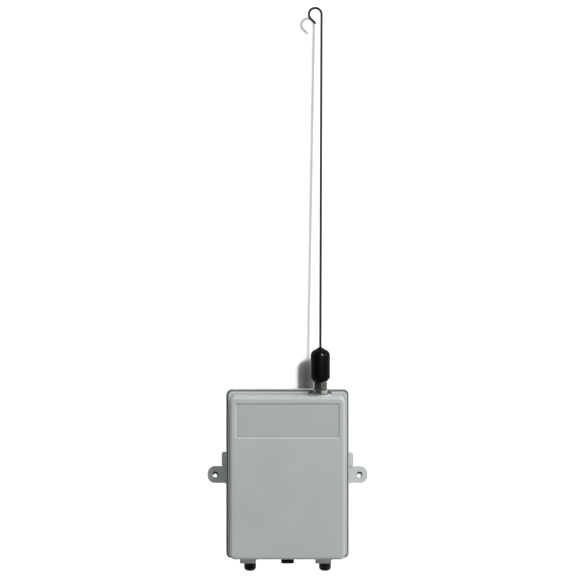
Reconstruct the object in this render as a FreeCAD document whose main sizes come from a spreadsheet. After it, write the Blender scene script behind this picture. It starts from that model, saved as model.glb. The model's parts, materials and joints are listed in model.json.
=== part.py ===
import FreeCAD, Part

import math
import os
import re

import Sketcher

# Gate opener receiver: a wall-mounted radio box with a whip antenna.
# Millimetres and degrees. X is to the right, Z is up, and the front faces -Y.
# The origin lies on the wall, at the middle of the case's back face.
# A depth is a distance from the wall, so a point at depth d has y = -d.

os.makedirs("parts", exist_ok=True)
doc = FreeCAD.newDocument("gate_receiver")
vector = FreeCAD.Vector
FRONTWARD = FreeCAD.Rotation(vector(1, 0, 0), 90)
SIDEWARD = FreeCAD.Rotation(vector(0, 1, 0), 90)

# Driving dimensions
SIZES = {
    # case outline and rear tray
    "case_width": 101.6,
    "case_height": 139.7,
    "case_depth": 44,
    "corner_radius": 4.2,
    "rim_depth": 13.5,
    "wall": 2.4,
    "back_wall": 2.5,
    "tray_draft": 1.5,
    "ear_spacing": 120.65,
    "ear_end_margin": 6.6,
    "ear_height": 13.8,
    "ear_thickness": 2.4,
    "ear_corner": 6,
    "ear_hole": 5.2,
    "ear_drop": 2.4,
    "rest_reach": 4,
    "rest_gap": 1.5,
    "rest_height": 10.5,
    "rest_depth": 9,
    "rest_corner": 1.2,
    # seal and cover
    "seal_thickness": 1.5,
    "seal_width": 3.2,
    "seal_gap": 0.1,
    "seal_inset": 0.6,
    "flange_inset": 1.7,
    "flange_thickness": 3,
    "flange_corner": 3.4,
    "flange_round": 1.1,
    "flange_step": 2.25,
    "cover_wall": 2.2,
    "cover_roof": 2.5,
    "cover_corner": 4.5,
    "cover_draft": 0.8,
    "front_round": 2.2,
    "skirt_length": 2.5,
    "skirt_wall": 1.6,
    "skirt_gap": 0.3,
    "rib_thickness": 1.4,
    "rib_height": 3,
    "rib_spacing": 52,
    "label_width": 85,
    "label_height": 29,
    "label_drop": 23.35,
    "label_corner": 1.5,
    "label_recess": 0.7,
    "recess_slope": 65,
    "label_thickness": 0.2,
    "label_gap": 0.5,
    # tongue for the antenna
    "antenna_offset": 26.9,
    "antenna_depth": 25,
    "tongue_width": 18,
    "tongue_thickness": 3.4,
    "tongue_drop": 3.45,
    "notch_gap": 0.4,
    "web_thickness": 1.5,
    "web_height": 13,
    # thumbscrews, lugs and cover feet
    "screw_margin": 19.6,
    "screw_depth": 8,
    "lug_width": 11,
    "lug_drop": 1.9,
    "foot_width": 12.9,
    "foot_shift": 1.6,
    "foot_thickness": 1.6,
    "foot_gap": 0.2,
    "foot_rear": 4,
    "slot_width": 4.8,
    "dimple_diameter": 1.8,
    "dimple_depth": 1,
    "dimple_shift": 6.5,
    "knob_diameter": 9.9,
    "knob_length": 7.6,
    "knob_round": 2.9,
    "knob_edge": 0.6,
    "knob_collar": 1.4,
    "driver_slot": 1.1,
    "driver_depth": 1.2,
    "shank_diameter": 4,
    "shank_length": 15,
    "shank_sink": 3.5,
    "running_gap": 0.05,
    "insert_diameter": 6,
    "insert_length": 6,
    "boss_diameter": 8,
    "boss_cap": 1.2,
    # wire grommet
    "grommet_width": 10.8,
    "grommet_length": 7.6,
    "grommet_corner": 2.4,
    "grommet_depth": 6.6,
    "grommet_drop": 5.5,
    "grommet_groove": 1,
    "grommet_lip": 1.5,
    "wire_hole": 4.6,
    # circuit board
    "board_width": 84,
    "board_height": 100,
    "board_clearance": 5.05,
    "board_corner": 2,
    "board_thickness": 1.6,
    "standoff_height": 6,
    "standoff_diameter": 7,
    "board_hole": 3.4,
    "board_hole_inset": 4.5,
    "board_screw": 2.9,
    "board_screw_head": 5.6,
    "board_screw_head_height": 2,
    "board_screw_length": 6.4,
    "fit_gap": 0.05,
    # code switch
    "lever_count": 10,
    "lever_pitch": 2.54,
    "code_length": 27.2,
    "code_width": 9.9,
    "code_height": 6.2,
    "code_corner": 0.4,
    "code_x": -20,
    "code_rise": 22,
    "lever_slot_width": 1.3,
    "lever_slot_length": 3.8,
    "lever_slot_depth": 1.6,
    "lever_width": 1.0,
    "lever_length": 1.9,
    "lever_stand": 0.6,
    "lever_gap": 0.15,
    # screw terminals
    "terminal_count": 5,
    "terminal_pitch": 5.08,
    "terminal_end": 0.6,
    "terminal_width": 9.8,
    "terminal_height": 12.6,
    "terminal_x": 0,
    "terminal_edge": 1.2,
    "terminal_corner": 0.5,
    "chamber_width": 3.9,
    "chamber_height": 6.2,
    "chamber_floor": 1.4,
    "chamber_length": 7,
    "cage_gap": 0.1,
    "cage_length": 5,
    "cage_wall": 0.5,
    "cage_setback": 1.5,
    "terminal_screw_head": 3.8,
    "terminal_screw_head_height": 1.8,
    "terminal_screw_shank": 2.4,
    "terminal_screw_length": 5.6,
    "terminal_slot_width": 0.7,
    "terminal_slot_depth": 0.8,
    "well_diameter": 4,
    "screw_recess": 0.8,
    # relay and power parts
    "relay_width": 15.4,
    "relay_length": 19.2,
    "relay_height": 15.4,
    "relay_x": -26,
    "relay_rise": -28,
    "relay_round": 0.8,
    "regulator_width": 10.2,
    "regulator_thickness": 4.5,
    "regulator_body": 9,
    "regulator_lead": 3,
    "regulator_lead_width": 1,
    "regulator_lead_thickness": 0.6,
    "regulator_lead_pitch": 2.54,
    "regulator_tab": 1.3,
    "regulator_tab_height": 6.4,
    "regulator_tab_hole": 3.8,
    "regulator_x": 9,
    "regulator_rise": -25,
    "large_can": 10,
    "large_can_height": 16,
    "large_can_x": 23,
    "large_can_rise": -28,
    "small_can": 8,
    "small_can_height": 12,
    "small_can_x": 34,
    "small_can_rise": -28,
    "can_chamfer": 0.8,
    "diode_count": 4,
    "diode_diameter": 2.7,
    "diode_length": 5.2,
    "diode_pitch": 4.4,
    "diode_x": -6,
    "diode_rise": -32,
    "part_gap": 0.2,
    # logic parts
    "chip_width": 6.4,
    "chip_height": 3.4,
    "chip_stand": 0.5,
    "chip_notch": 1.6,
    "chip_notch_depth": 0.5,
    "chip_leg_inset": 1,
    "chip_leg_reach": 0.6,
    "chip_leg_height": 1.6,
    "decoder_length": 22.8,
    "decoder_x": -20,
    "decoder_rise": -1,
    "amplifier_length": 9.8,
    "amplifier_x": 8,
    "amplifier_rise": -2,
    "transistor_diameter": 4.8,
    "transistor_flat": 1.3,
    "transistor_height": 4.8,
    "transistor_x": 6,
    "transistor_rise": 14,
    "transistor_pitch": 9,
    "resistor_count": 6,
    "resistor_diameter": 2.4,
    "resistor_length": 6.4,
    "resistor_pitch": 4,
    "resistor_x": 26,
    "resistor_rise": -12,
    "disc_count": 4,
    "disc_diameter": 6,
    "disc_thickness": 2.2,
    "disc_pitch": 7,
    "disc_x": -32,
    "disc_rise": 38,
    # radio stage
    "coil_can_side": 10.2,
    "coil_can_height": 12.6,
    "coil_can_sheet": 0.5,
    "coil_can_hole": 5,
    "coil_x": 28,
    "coil_rise": 22,
    "former_base": 8.8,
    "former_base_height": 1.5,
    "former_diameter": 6,
    "former_height": 10,
    "slug_diameter": 4,
    "slug_length": 7,
    "slug_sink": 0.6,
    "slug_slot": 0.7,
    "resonator_length": 11.2,
    "resonator_width": 4.7,
    "resonator_height": 10.5,
    "resonator_lip": 0.5,
    "resonator_lip_reach": 0.4,
    "resonator_x": 8,
    "resonator_rise": 30,
    "header_pitch": 2.54,
    "header_count": 3,
    "header_pin": 0.64,
    "header_pin_height": 8.4,
    "header_x": 10,
    "header_rise": -12,
    "plug_length": 5,
    "plug_width": 2.4,
    "plug_height": 6.8,
    "plug_wall": 0.75,
    "plug_roof": 0.8,
    "plug_gap": 0.15,
    # antenna jack
    "barrel_diameter": 9.5,
    "barrel_height": 8.6,
    "barrel_tail": 6,
    "jack_shoulder": 11.1,
    "jack_shoulder_height": 2.6,
    "jack_bore": 6.6,
    "washer_diameter": 13,
    "washer_thickness": 0.8,
    "locknut_flats": 11.1,
    "locknut_height": 2.4,
    "contact_diameter": 3,
    "contact_bore": 1.3,
    "contact_tail": 4,
    "contact_floor": 2,
    "insulator_recess": 0.8,
    "lead_diameter": 2.6,
    "lead_bend": 6.5,
    "lead_drop": 8,
    # antenna
    "nut_gap": 0.2,
    "coupling_flats": 11.1,
    "coupling_height": 7.2,
    "coupling_web": 0.9,
    "sleeve_collar": 8.4,
    "sleeve_collar_height": 0.9,
    "sleeve_diameter": 6.4,
    "sleeve_bore": 4,
    "sleeve_height": 9,
    "base_gap": 0.2,
    "base_diameter": 16,
    "base_height": 28,
    "base_shoulder": 6.76,
    "base_round": 5,
    "base_turn": 61.3,
    "base_foot_inset": 2.3,
    "base_foot_height": 2.9,
    "base_tip_diameter": 5.4,
    "base_tip_height": 0.9,
    "base_tip_land": 0.5,
    "whip_diameter": 2,
    "whip_root": 6,
    "whip_height": 281.4,
    "whip_lean": 0.26,
    "whip_back_lean": 2.1,
    "tip_radius": 5.25,
    "tip_turn": 226,
    "tip_leg": 5.4,
    "pin_diameter": 1,
    "pin_reach": 9,
}

# Places worked out from the driving dimensions
PLACES = {
    "seam": "rim_depth + seal_thickness + seal_gap",
    "body_inset": "flange_inset + flange_step",
    "shell_width": "case_width - 2 * body_inset",
    "shell_height": "case_height - 2 * body_inset",
    "skirt_inset": "seal_width + skirt_gap",
    "case_bottom": "-case_height / 2",
    "floor_top": "case_bottom + wall + rim_depth * tan(tray_draft)",
    "tongue_top": "case_height / 2 - tongue_drop",
    "tongue_under": "tongue_top - tongue_thickness",
    "label_centre": "case_height / 2 - label_drop",
    "screw_x": "case_width / 2 - screw_margin",
    "lug_bottom": "case_bottom - lug_drop",
    "foot_top": "lug_bottom - foot_gap",
    "foot_bottom": "foot_top - foot_thickness",
    "knob_top": "foot_bottom - foot_gap",
    "shank_bottom": "knob_top - shank_sink",
    "insert_bottom": "shank_bottom + shank_length - insert_length",
    "boss_top": "insert_bottom + insert_length + boss_cap",
    "board_back": "back_wall + standoff_height",
    "board_front": "board_back + board_thickness",
    "board_hole_x": "board_width / 2 - board_hole_inset",
    "board_hole_z": "board_height / 2 - board_hole_inset",
    "board_bottom": "boss_top + board_clearance",
    "board_centre": "board_bottom + board_height / 2",
    "code_z": "board_centre + code_rise",
    "relay_z": "board_centre + relay_rise",
    "regulator_z": "board_centre + regulator_rise",
    "large_can_z": "board_centre + large_can_rise",
    "small_can_z": "board_centre + small_can_rise",
    "diode_z": "board_centre + diode_rise",
    "decoder_z": "board_centre + decoder_rise",
    "amplifier_z": "board_centre + amplifier_rise",
    "transistor_z": "board_centre + transistor_rise",
    "resistor_z": "board_centre + resistor_rise",
    "disc_z": "board_centre + disc_rise",
    "coil_z": "board_centre + coil_rise",
    "resonator_z": "board_centre + resonator_rise",
    "header_z": "board_centre + header_rise",
    "lever_first": "code_x - (lever_count - 1) / 2 * lever_pitch",
    "lever_rest": "code_z - lever_slot_length / 2 + lever_gap",
    "terminal_first": "terminal_x - (terminal_count - 1) / 2 * terminal_pitch",
    "terminal_length": "terminal_count * terminal_pitch + 2 * terminal_end",
    "terminal_z": "board_bottom + terminal_edge + terminal_width / 2",
    "terminal_low": "terminal_z - terminal_width / 2",
    "cage_low": "terminal_low + cage_setback",
    "cage_width": "chamber_width - 2 * cage_gap",
    "cage_height": "chamber_height - 2 * cage_gap",
    "cage_back": "board_front + chamber_floor + cage_gap",
    "cage_z": "cage_low + cage_length / 2",
    "terminal_head": "board_front + terminal_height - screw_recess - terminal_screw_head_height",
    "chip_back": "board_front + chip_stand",
    "washer_low": "tongue_top",
    "locknut_low": "washer_low + washer_thickness",
    "coupling_low": "locknut_low + locknut_height + nut_gap",
    "coupling_top": "coupling_low + coupling_height",
    "barrel_top": "tongue_top + barrel_height",
    "shoulder_low": "tongue_under - jack_shoulder_height",
    "barrel_low": "shoulder_low - barrel_tail",
    "contact_low": "barrel_low - contact_tail",
    "collar_low": "barrel_top + fit_gap",
    "base_low": "coupling_top + base_gap",
    "base_top": "base_low + base_height",
    "sleeve_top": "base_low + sleeve_height",
    "whip_foot": "base_top - whip_root",
    "slug_low": "board_front + former_base_height + former_height - slug_sink - slug_length",
}

sheet = doc.addObject("Spreadsheet::Sheet", "Sizes")
for row, (name, size) in enumerate(SIZES.items(), start=1):
    sheet.set(f"A{row}", name)
    sheet.set(f"B{row}", str(size))
    sheet.setAlias(f"B{row}", name)
for row, (name, text) in enumerate(PLACES.items(), start=len(SIZES) + 1):
    sheet.set(f"A{row}", name)
    sheet.set(f"B{row}", "=" + text)
    sheet.setAlias(f"B{row}", name)
doc.recompute()

pieces = []


# Shared helpers

def formula(text):
    """Name the sheet in front of each size that the text uses."""
    def named(match):
        word = match.group()
        return "Sizes." + word if word in SIZES or word in PLACES else word
    return re.sub(r"[a-z_][a-z_0-9]*", named, str(text))


def bind(thing, **sizes):
    """Bind properties to the sheet; x, y and z stand for the placement."""
    for prop, text in sizes.items():
        path = "Placement.Base." + prop if prop in ("x", "y", "z") else prop
        thing.setExpression(path, formula(text))


def keep(thing, label):
    """Mark a finished sub-part, whose label names its file."""
    thing.Label = label
    pieces.append(thing)
    return thing


def block(name, width, height, thick, x, z, depth):
    """Box centred on x, standing on z, reaching thick millimetres forward from depth."""
    box = doc.addObject("Part::Box", name)
    bind(box, Length=width, Height=height, Width=thick)
    bind(box, x=f"{x} - ({width}) / 2", y=f"-({depth}) - ({thick})", z=z)
    return box


def pile(name, width, height, thick, x, z, depth):
    """Box centred on x and z, standing on depth and reaching forward."""
    return block(name, width, height, thick, x, f"{z} - ({height}) / 2", depth)


def upright(name, radius, height, x, depth, z):
    """Cylinder with an upright axis, standing on z."""
    rod = doc.addObject("Part::Cylinder", name)
    bind(rod, Radius=radius, Height=height, x=x, y=f"-({depth})", z=z)
    return rod


def forward(name, radius, length, x, z, depth):
    """Cylinder whose axis runs forward from depth."""
    rod = doc.addObject("Part::Cylinder", name)
    rod.Placement = FreeCAD.Placement(vector(), FRONTWARD)
    bind(rod, Radius=radius, Height=length, x=x, y=f"-({depth})", z=z)
    return rod


def sideways(name, radius, length, x, z, depth):
    """Cylinder lying along X, centred on x, with its axis at depth."""
    rod = doc.addObject("Part::Cylinder", name)
    rod.Placement = FreeCAD.Placement(vector(), SIDEWARD)
    bind(rod, Radius=radius, Height=length, x=f"{x} - ({length}) / 2", y=f"-({depth})", z=z)
    return rod


def hexagon(name, flats, height, x, depth, z):
    """Six-sided prism with an upright axis, given across its flats."""
    prism = doc.addObject("Part::Prism", name)
    prism.Polygon = 6
    bind(prism, Circumradius=f"({flats}) / 2 / cos(30)", Height=height)
    bind(prism, x=x, y=f"-({depth})", z=z)
    return prism


def cut(name, base, tools):
    """Take the tools away from the base."""
    tool = tools[0] if len(tools) == 1 else fuse(name + "_tools", tools)
    result = doc.addObject("Part::Cut", name)
    result.Base = base
    result.Tool = tool
    return result


def fuse(name, shapes):
    """Join solids into one."""
    result = doc.addObject("Part::MultiFuse", name)
    result.Shapes = shapes
    result.Refine = True
    return result


def group(name, shapes):
    """Keep equal pieces as separate solids of one sub-part."""
    result = doc.addObject("Part::Compound", name)
    result.Links = shapes
    return result


def origin_item(body, role):
    """Plane or axis of the body's own origin."""
    return next(item for item in body.Origin.OriginFeatures if item.Role == role)


def new_sketch(body, name, plane, x=0, y=0, offset=0):
    """Sketch on one of the body's own planes, its centre moved by x, y and offset."""
    sketch = body.newObject("Sketcher::SketchObject", name)
    sketch.AttachmentSupport = [(origin_item(body, plane), "")]
    sketch.MapMode = "FlatFace"
    for axis, text in (("x", x), ("y", y), ("z", offset)):
        sketch.setExpression("AttachmentOffset.Base." + axis, formula(text))
    return sketch


def constrain(sketch, name, constraint, text):
    """Add a named constraint that follows the sheet."""
    index = sketch.addConstraint(constraint)
    sketch.renameConstraint(index, name)
    sketch.setExpression("Constraints." + name, formula(text))


def add_rounded_rectangle(sketch, width, height, radius, tag=""):
    """Rectangle with round corners, centred on the sketch."""
    half = 10
    bend = 2
    flat = half - bend
    quarter = math.pi / 2
    first = sketch.GeometryCount

    def line(x_from, y_from, x_to, y_to):
        return Part.LineSegment(vector(x_from, y_from, 0), vector(x_to, y_to, 0))

    def corner(x, y, start):
        circle = Part.Circle(vector(x, y, 0), vector(0, 0, 1), bend)
        return Part.ArcOfCircle(circle, start, start + quarter)

    sketch.addGeometry([
        line(-flat, -half, flat, -half), corner(flat, -flat, -quarter),
        line(half, -flat, half, flat), corner(flat, flat, 0),
        line(flat, half, -flat, half), corner(-flat, flat, quarter),
        line(-half, flat, -half, -flat), corner(-flat, -flat, 2 * quarter),
    ], False)
    bottom, corner_one, right, corner_two, top, corner_three, left, corner_four = range(first, first + 8)
    ring = [bottom, corner_one, right, corner_two, top, corner_three, left, corner_four]
    for index, edge in enumerate(ring):
        sketch.addConstraint(Sketcher.Constraint("Tangent", edge, 2, ring[(index + 1) % 8], 1))
    for edge in (bottom, top):
        sketch.addConstraint(Sketcher.Constraint("Horizontal", edge))
    for edge in (left, right):
        sketch.addConstraint(Sketcher.Constraint("Vertical", edge))
    for edge in (corner_two, corner_three, corner_four):
        sketch.addConstraint(Sketcher.Constraint("Equal", corner_one, edge))
    sketch.addConstraint(Sketcher.Constraint("Symmetric", corner_three, 3, corner_one, 3, -1, 1))
    constrain(sketch, "width" + tag, Sketcher.Constraint("DistanceX", left, 1, right, 1, 2 * half), width)
    constrain(sketch, "height" + tag, Sketcher.Constraint("DistanceY", bottom, 1, top, 1, 2 * half), height)
    constrain(sketch, "radius" + tag, Sketcher.Constraint("Radius", corner_one, bend), radius)


def rounded_rectangle(body, name, plane, width, height, radius, x=0, y=0, offset=0):
    """Sketch that holds one rounded rectangle."""
    sketch = new_sketch(body, name, plane, x, y, offset)
    add_rounded_rectangle(sketch, width, height, radius)
    return sketch


def add_circles(sketch, radius, centres):
    """Circles at the given centres, all bound to the sheet."""
    for x, y in centres:
        index = sketch.addGeometry(Part.Circle(vector(1, 1, 0), vector(0, 0, 1), 1), False)
        tag = f"_{index}"
        constrain(sketch, "x" + tag, Sketcher.Constraint("DistanceX", -1, 1, index, 3, 1), x)
        constrain(sketch, "y" + tag, Sketcher.Constraint("DistanceY", -1, 1, index, 3, 1), y)
        constrain(sketch, "radius" + tag, Sketcher.Constraint("Radius", index, 1), radius)


def add_outline(sketch, points):
    """Closed outline of straight edges through points bound to the sheet."""
    count = len(points)
    spread = [vector(10 + math.cos(2 * math.pi * i / count), math.sin(2 * math.pi * i / count), 0)
              for i in range(count)]
    for index in range(count):
        edge = Part.LineSegment(spread[index], spread[(index + 1) % count])
        sketch.addGeometry(edge, False)
    for index, (x, y) in enumerate(points):
        sketch.addConstraint(Sketcher.Constraint("Coincident", index, 2, (index + 1) % count, 1))
        constrain(sketch, f"x_{index}", Sketcher.Constraint("DistanceX", -1, 1, index, 1, 1), x)
        constrain(sketch, f"y_{index}", Sketcher.Constraint("DistanceY", -1, 1, index, 1, 1), y)


def pad(body, name, profile, length, taper=None, towards_wall=False):
    """Pad a profile."""
    feature = body.newObject("PartDesign::Pad", name)
    feature.Profile = profile
    feature.Reversed = towards_wall
    bind(feature, Length=length)
    if taper:
        bind(feature, TaperAngle=taper)
    return feature


def pocket(body, name, profile, length, taper=None, backwards=False):
    """Pocket a profile, and stop if it takes nothing away."""
    doc.recompute()
    before = body.Shape.Volume
    feature = body.newObject("PartDesign::Pocket", name)
    feature.Profile = profile
    feature.Reversed = backwards
    bind(feature, Length=length)
    if taper:
        bind(feature, TaperAngle=taper)
    doc.recompute()
    if body.Shape.Volume >= before:
        raise ValueError(name + " cuts nothing")
    return feature


def revolve(body, name, profile):
    """Revolve a profile about the body's upright axis."""
    feature = body.newObject("PartDesign::Revolution", name)
    feature.Profile = profile
    feature.ReferenceAxis = (profile, ["V_Axis"])
    feature.Angle = 360
    return feature


def bend(x, z, radius, first, turn):
    """Points along an arc in three steps, as formulas."""
    angles = [f"({first} + {turn} * {step} / 3)" for step in range(4)]
    return [(f"{x} + {radius} * cos({angle})", f"{z} + {radius} * sin({angle})") for angle in angles]


def add_rectangle(sketch, width, height):
    """Rectangle with sharp corners, centred on the sketch."""
    add_outline(sketch, [(f"{side} ({width}) / 2", f"{end} ({height}) / 2")
                         for side, end in (("-", "-"), ("", "-"), ("", ""), ("-", ""))])


def edges_where(shape, test):
    """Names of the edges whose every vertex and middle passes the test."""
    chosen = []
    for index, edge in enumerate(shape.Edges, start=1):
        middle = edge.valueAt((edge.FirstParameter + edge.LastParameter) / 2)
        if all(test(point) for point in [vertex.Point for vertex in edge.Vertexes] + [middle]):
            chosen.append(f"Edge{index}")
    return chosen


def fillet(body, name, base, test, radius):
    """Round the edges of the base feature that pass the test."""
    doc.recompute()
    feature = body.newObject("PartDesign::Fillet", name)
    feature.Base = (base, edges_where(base.Shape, test))
    bind(feature, Radius=radius)
    return feature


def chamfer(body, name, base, test, width):
    """Bevel the edges of the base feature that pass the test."""
    doc.recompute()
    feature = body.newObject("PartDesign::Chamfer", name)
    feature.Base = (base, edges_where(base.Shape, test))
    bind(feature, Size=width)
    return feature


def size(name):
    """Value of one cell."""
    return float(sheet.get(name))


def close(one, other):
    """True where two lengths agree."""
    return abs(one - other) < 0.001


# Rear housing

def tray():
    """Open tray with a draft that narrows towards the wall."""
    body = doc.addObject("PartDesign::Body", "tray")
    outline = rounded_rectangle(body, "tray_outline", "XZ_Plane", "case_width", "case_height",
                                "corner_radius", offset="rim_depth")
    pad(body, "tray_block", outline, "rim_depth", taper="-tray_draft", towards_wall=True)
    hollow = rounded_rectangle(body, "tray_hollow_outline", "XZ_Plane", "case_width - 2 * wall",
                               "case_height - 2 * wall", "corner_radius - wall", offset="rim_depth")
    pocket(body, "tray_hollow", hollow, "rim_depth - back_wall", taper="-tray_draft")
    standoffs = new_sketch(body, "standoff_outline", "XZ_Plane", y="board_centre", offset="back_wall")
    add_circles(standoffs, "standoff_diameter / 2", board_hole_places())
    pad(body, "standoffs", standoffs, "standoff_height")
    pilots = new_sketch(body, "pilot_outline", "XZ_Plane", y="board_centre", offset="board_back")
    add_circles(pilots, "board_screw / 2 + fit_gap", board_hole_places())
    pocket(body, "pilots", pilots, "board_screw_length - board_thickness + fit_gap")
    return body


def board_hole_places():
    """The four board holes, from the middle of the board."""
    return [("board_hole_x", "board_hole_z"), ("-board_hole_x", "board_hole_z"),
            ("-board_hole_x", "-board_hole_z"), ("board_hole_x", "-board_hole_z")]


def ears():
    """Screw ears with a rest pad and a narrow recess above each, mirrored left and right."""
    body = doc.addObject("PartDesign::Body", "ears")
    root = "(case_width / 2 - wall)"
    reach = f"(ear_spacing / 2 + ear_end_margin - {root})"
    ear = rounded_rectangle(body, "ear_outline", "XZ_Plane", f"{reach} + ear_corner", "ear_height",
                            "ear_corner", x=f"{root} + ({reach} - ear_corner) / 2", y="-ear_drop")
    ear_pad = pad(body, "ear", ear, "ear_thickness")
    web = rounded_rectangle(body, "ear_web_outline", "XZ_Plane", "wall + rest_reach / 3", "ear_height",
                            "rest_corner", x=f"{root} + (wall + rest_reach / 3) / 2", y="-ear_drop")
    web_pad = pad(body, "ear_web", web, "rest_depth")
    rest = rounded_rectangle(body, "rest_outline", "XZ_Plane", "wall + rest_reach", "rest_height",
                             "rest_corner", x=f"{root} + (wall + rest_reach) / 2",
                             y="ear_height / 2 - ear_drop + rest_gap + rest_height / 2")
    rest_pad = pad(body, "rest", rest, "rest_depth")
    bridge = rounded_rectangle(body, "bridge_outline", "XZ_Plane", "wall + rest_reach",
                               "4 * rest_corner + rest_gap", "rest_corner",
                               x=f"{root} + (wall + rest_reach) / 2",
                               y="(ear_height + rest_gap) / 2 - ear_drop")
    bridge_pad = pad(body, "bridge", bridge, "ear_thickness")
    hole = new_sketch(body, "ear_hole_outline", "XZ_Plane", y="-ear_drop", offset="ear_thickness")
    add_circles(hole, "ear_hole / 2", [("ear_spacing / 2", "0")])
    hole_cut = pocket(body, "ear_hole", hole, "ear_thickness")
    mirror = body.newObject("PartDesign::Mirrored", "other_side")
    mirror.Originals = [ear_pad, web_pad, rest_pad, bridge_pad, hole_cut]
    mirror.MirrorPlane = (origin_item(body, "YZ_Plane"), [""])
    body.Tip = mirror
    return body


def tongue_prism(name, gap, low, high, rear):
    """Upright slab with a round front end, grown by gap, round the antenna's axis."""
    half = f"(tongue_width / 2 + {gap})"
    flat = block(name + "_flat", f"2 * {half}", f"({high}) - ({low})", f"antenna_depth - ({rear})",
                 "antenna_offset", low, rear)
    end = upright(name + "_end", half, f"({high}) - ({low})", "antenna_offset", "antenna_depth", low)
    return fuse(name, [flat, end])


def tongue():
    """Tongue that reaches forward under the seam, its root and its two webs."""
    slab = tongue_prism("tongue_slab", "0", "tongue_under", "tongue_top", "back_wall / 2")
    root = block("tongue_root", "tongue_width", "tongue_drop - wall / 2", "rim_depth - back_wall / 2",
                 "antenna_offset", "tongue_top", "back_wall / 2")
    parts = [slab, root]
    for side, sign in (("left", "-"), ("right", "+")):
        body = doc.addObject("PartDesign::Body", "tongue_web_" + side)
        sketch = new_sketch(body, "web_outline_" + side, "YZ_Plane",
                            offset=f"antenna_offset {sign} (tongue_width - web_thickness) / 2")
        add_outline(sketch, [("-back_wall / 2", "tongue_under"),
                             ("-back_wall / 2", "tongue_under - web_height"),
                             ("-back_wall", "tongue_under - web_height"), ("-antenna_depth", "tongue_under")])
        web = pad(body, "web_" + side, sketch, "web_thickness")
        web.Midplane = True
        parts.append(body)
    return parts


def rear_housing():
    """The whole moulding: tray, ears, tongue, lugs and inner bosses."""
    solids = [tray(), ears()] + tongue()
    holes = []
    for side, sign in (("left", "-"), ("right", "")):
        x = f"{sign}screw_x"
        solids.append(block("lug_" + side, "lug_width", "lug_drop + wall", "rim_depth - back_wall / 2", x,
                            "lug_bottom", "back_wall / 2"))
        solids.append(upright("boss_" + side, "boss_diameter / 2", "boss_top - floor_top + wall / 2", x,
                              "screw_depth", "floor_top - wall / 2"))
        holes.append(upright("shank_hole_" + side, "shank_diameter / 2 + 4 * running_gap",
                             "insert_bottom - lug_bottom", x, "screw_depth", "lug_bottom"))
        holes.append(upright("insert_hole_" + side, "insert_diameter / 2 + fit_gap",
                             "insert_length + fit_gap", x, "screw_depth", "insert_bottom - fit_gap"))
    holes.append(upright("jack_hole", "barrel_diameter / 2 + 2 * fit_gap", "tongue_thickness",
                         "antenna_offset", "antenna_depth", "tongue_under"))
    neck = doc.addObject("PartDesign::Body", "grommet_hole")
    outline = rounded_rectangle(neck, "grommet_hole_outline", "XY_Plane",
                                "grommet_width - 2 * grommet_groove + 2 * fit_gap",
                                "grommet_length - 2 * grommet_groove + 2 * fit_gap",
                                "grommet_corner - grommet_groove", y="-grommet_depth", offset="case_bottom")
    pad(neck, "grommet_hole_prism", outline, "floor_top - case_bottom")
    holes.append(neck)
    return keep(cut("rear_housing", fuse("housing_blank", solids), holes), "rear_housing")


# Seal and cover

def cover_gasket():
    """Flat rubber ring on the tray's rim."""
    body = doc.addObject("PartDesign::Body", "cover_gasket")
    sketch = new_sketch(body, "seal_outline", "XZ_Plane", offset="rim_depth")
    add_rounded_rectangle(sketch, "case_width - 2 * seal_inset", "case_height - 2 * seal_inset",
                          "corner_radius - seal_inset")
    add_rounded_rectangle(sketch, "case_width - 2 * seal_width", "case_height - 2 * seal_width",
                          "corner_radius - seal_width", tag="_inner")
    pad(body, "seal_ring", sketch, "seal_thickness")
    return keep(body, "cover_gasket")


def cover_shell():
    """Flange, drafted shell with a rounded front edge, label recess, skirt and hollow."""
    body = doc.addObject("PartDesign::Body", "cover_shell")
    flange = rounded_rectangle(body, "flange_outline", "XZ_Plane", "case_width - 2 * flange_inset",
                               "case_height - 2 * flange_inset", "flange_corner", offset="seam")
    plate = pad(body, "flange", flange, "flange_thickness")
    rim = size("seam") + size("flange_thickness")
    fillet(body, "flange_edge", plate, lambda point: close(point.y, -rim), "flange_round")
    shell = rounded_rectangle(body, "shell_outline", "XZ_Plane", "shell_width", "shell_height",
                              "cover_corner", offset="seam")
    front = pad(body, "shell", shell, "case_depth - seam", taper="-cover_draft")
    depth = size("case_depth")
    fillet(body, "front_edge", front, lambda point: close(point.y, -depth), "front_round")
    skirt = new_sketch(body, "skirt_outline", "XZ_Plane", offset="seam")
    add_rounded_rectangle(skirt, "case_width - 2 * skirt_inset", "case_height - 2 * skirt_inset",
                          "cover_corner - skirt_gap")
    add_rounded_rectangle(skirt, "case_width - 2 * (skirt_inset + skirt_wall)",
                          "case_height - 2 * (skirt_inset + skirt_wall)",
                          "cover_corner - skirt_gap - skirt_wall", tag="_inner")
    pad(body, "skirt", skirt, "skirt_length", towards_wall=True)
    hollow = rounded_rectangle(body, "hollow_outline", "XZ_Plane", "shell_width - 2 * cover_wall",
                               "shell_height - 2 * cover_wall", "cover_corner - cover_wall", offset="seam")
    pocket(body, "hollow", hollow, "case_depth - cover_roof - seam", taper="-cover_draft", backwards=True)
    recess = rounded_rectangle(body, "recess_outline", "XZ_Plane", "label_width", "label_height",
                               "label_corner", y="label_centre", offset="case_depth")
    pocket(body, "recess", recess, "label_recess", taper="-recess_slope")
    return body


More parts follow.
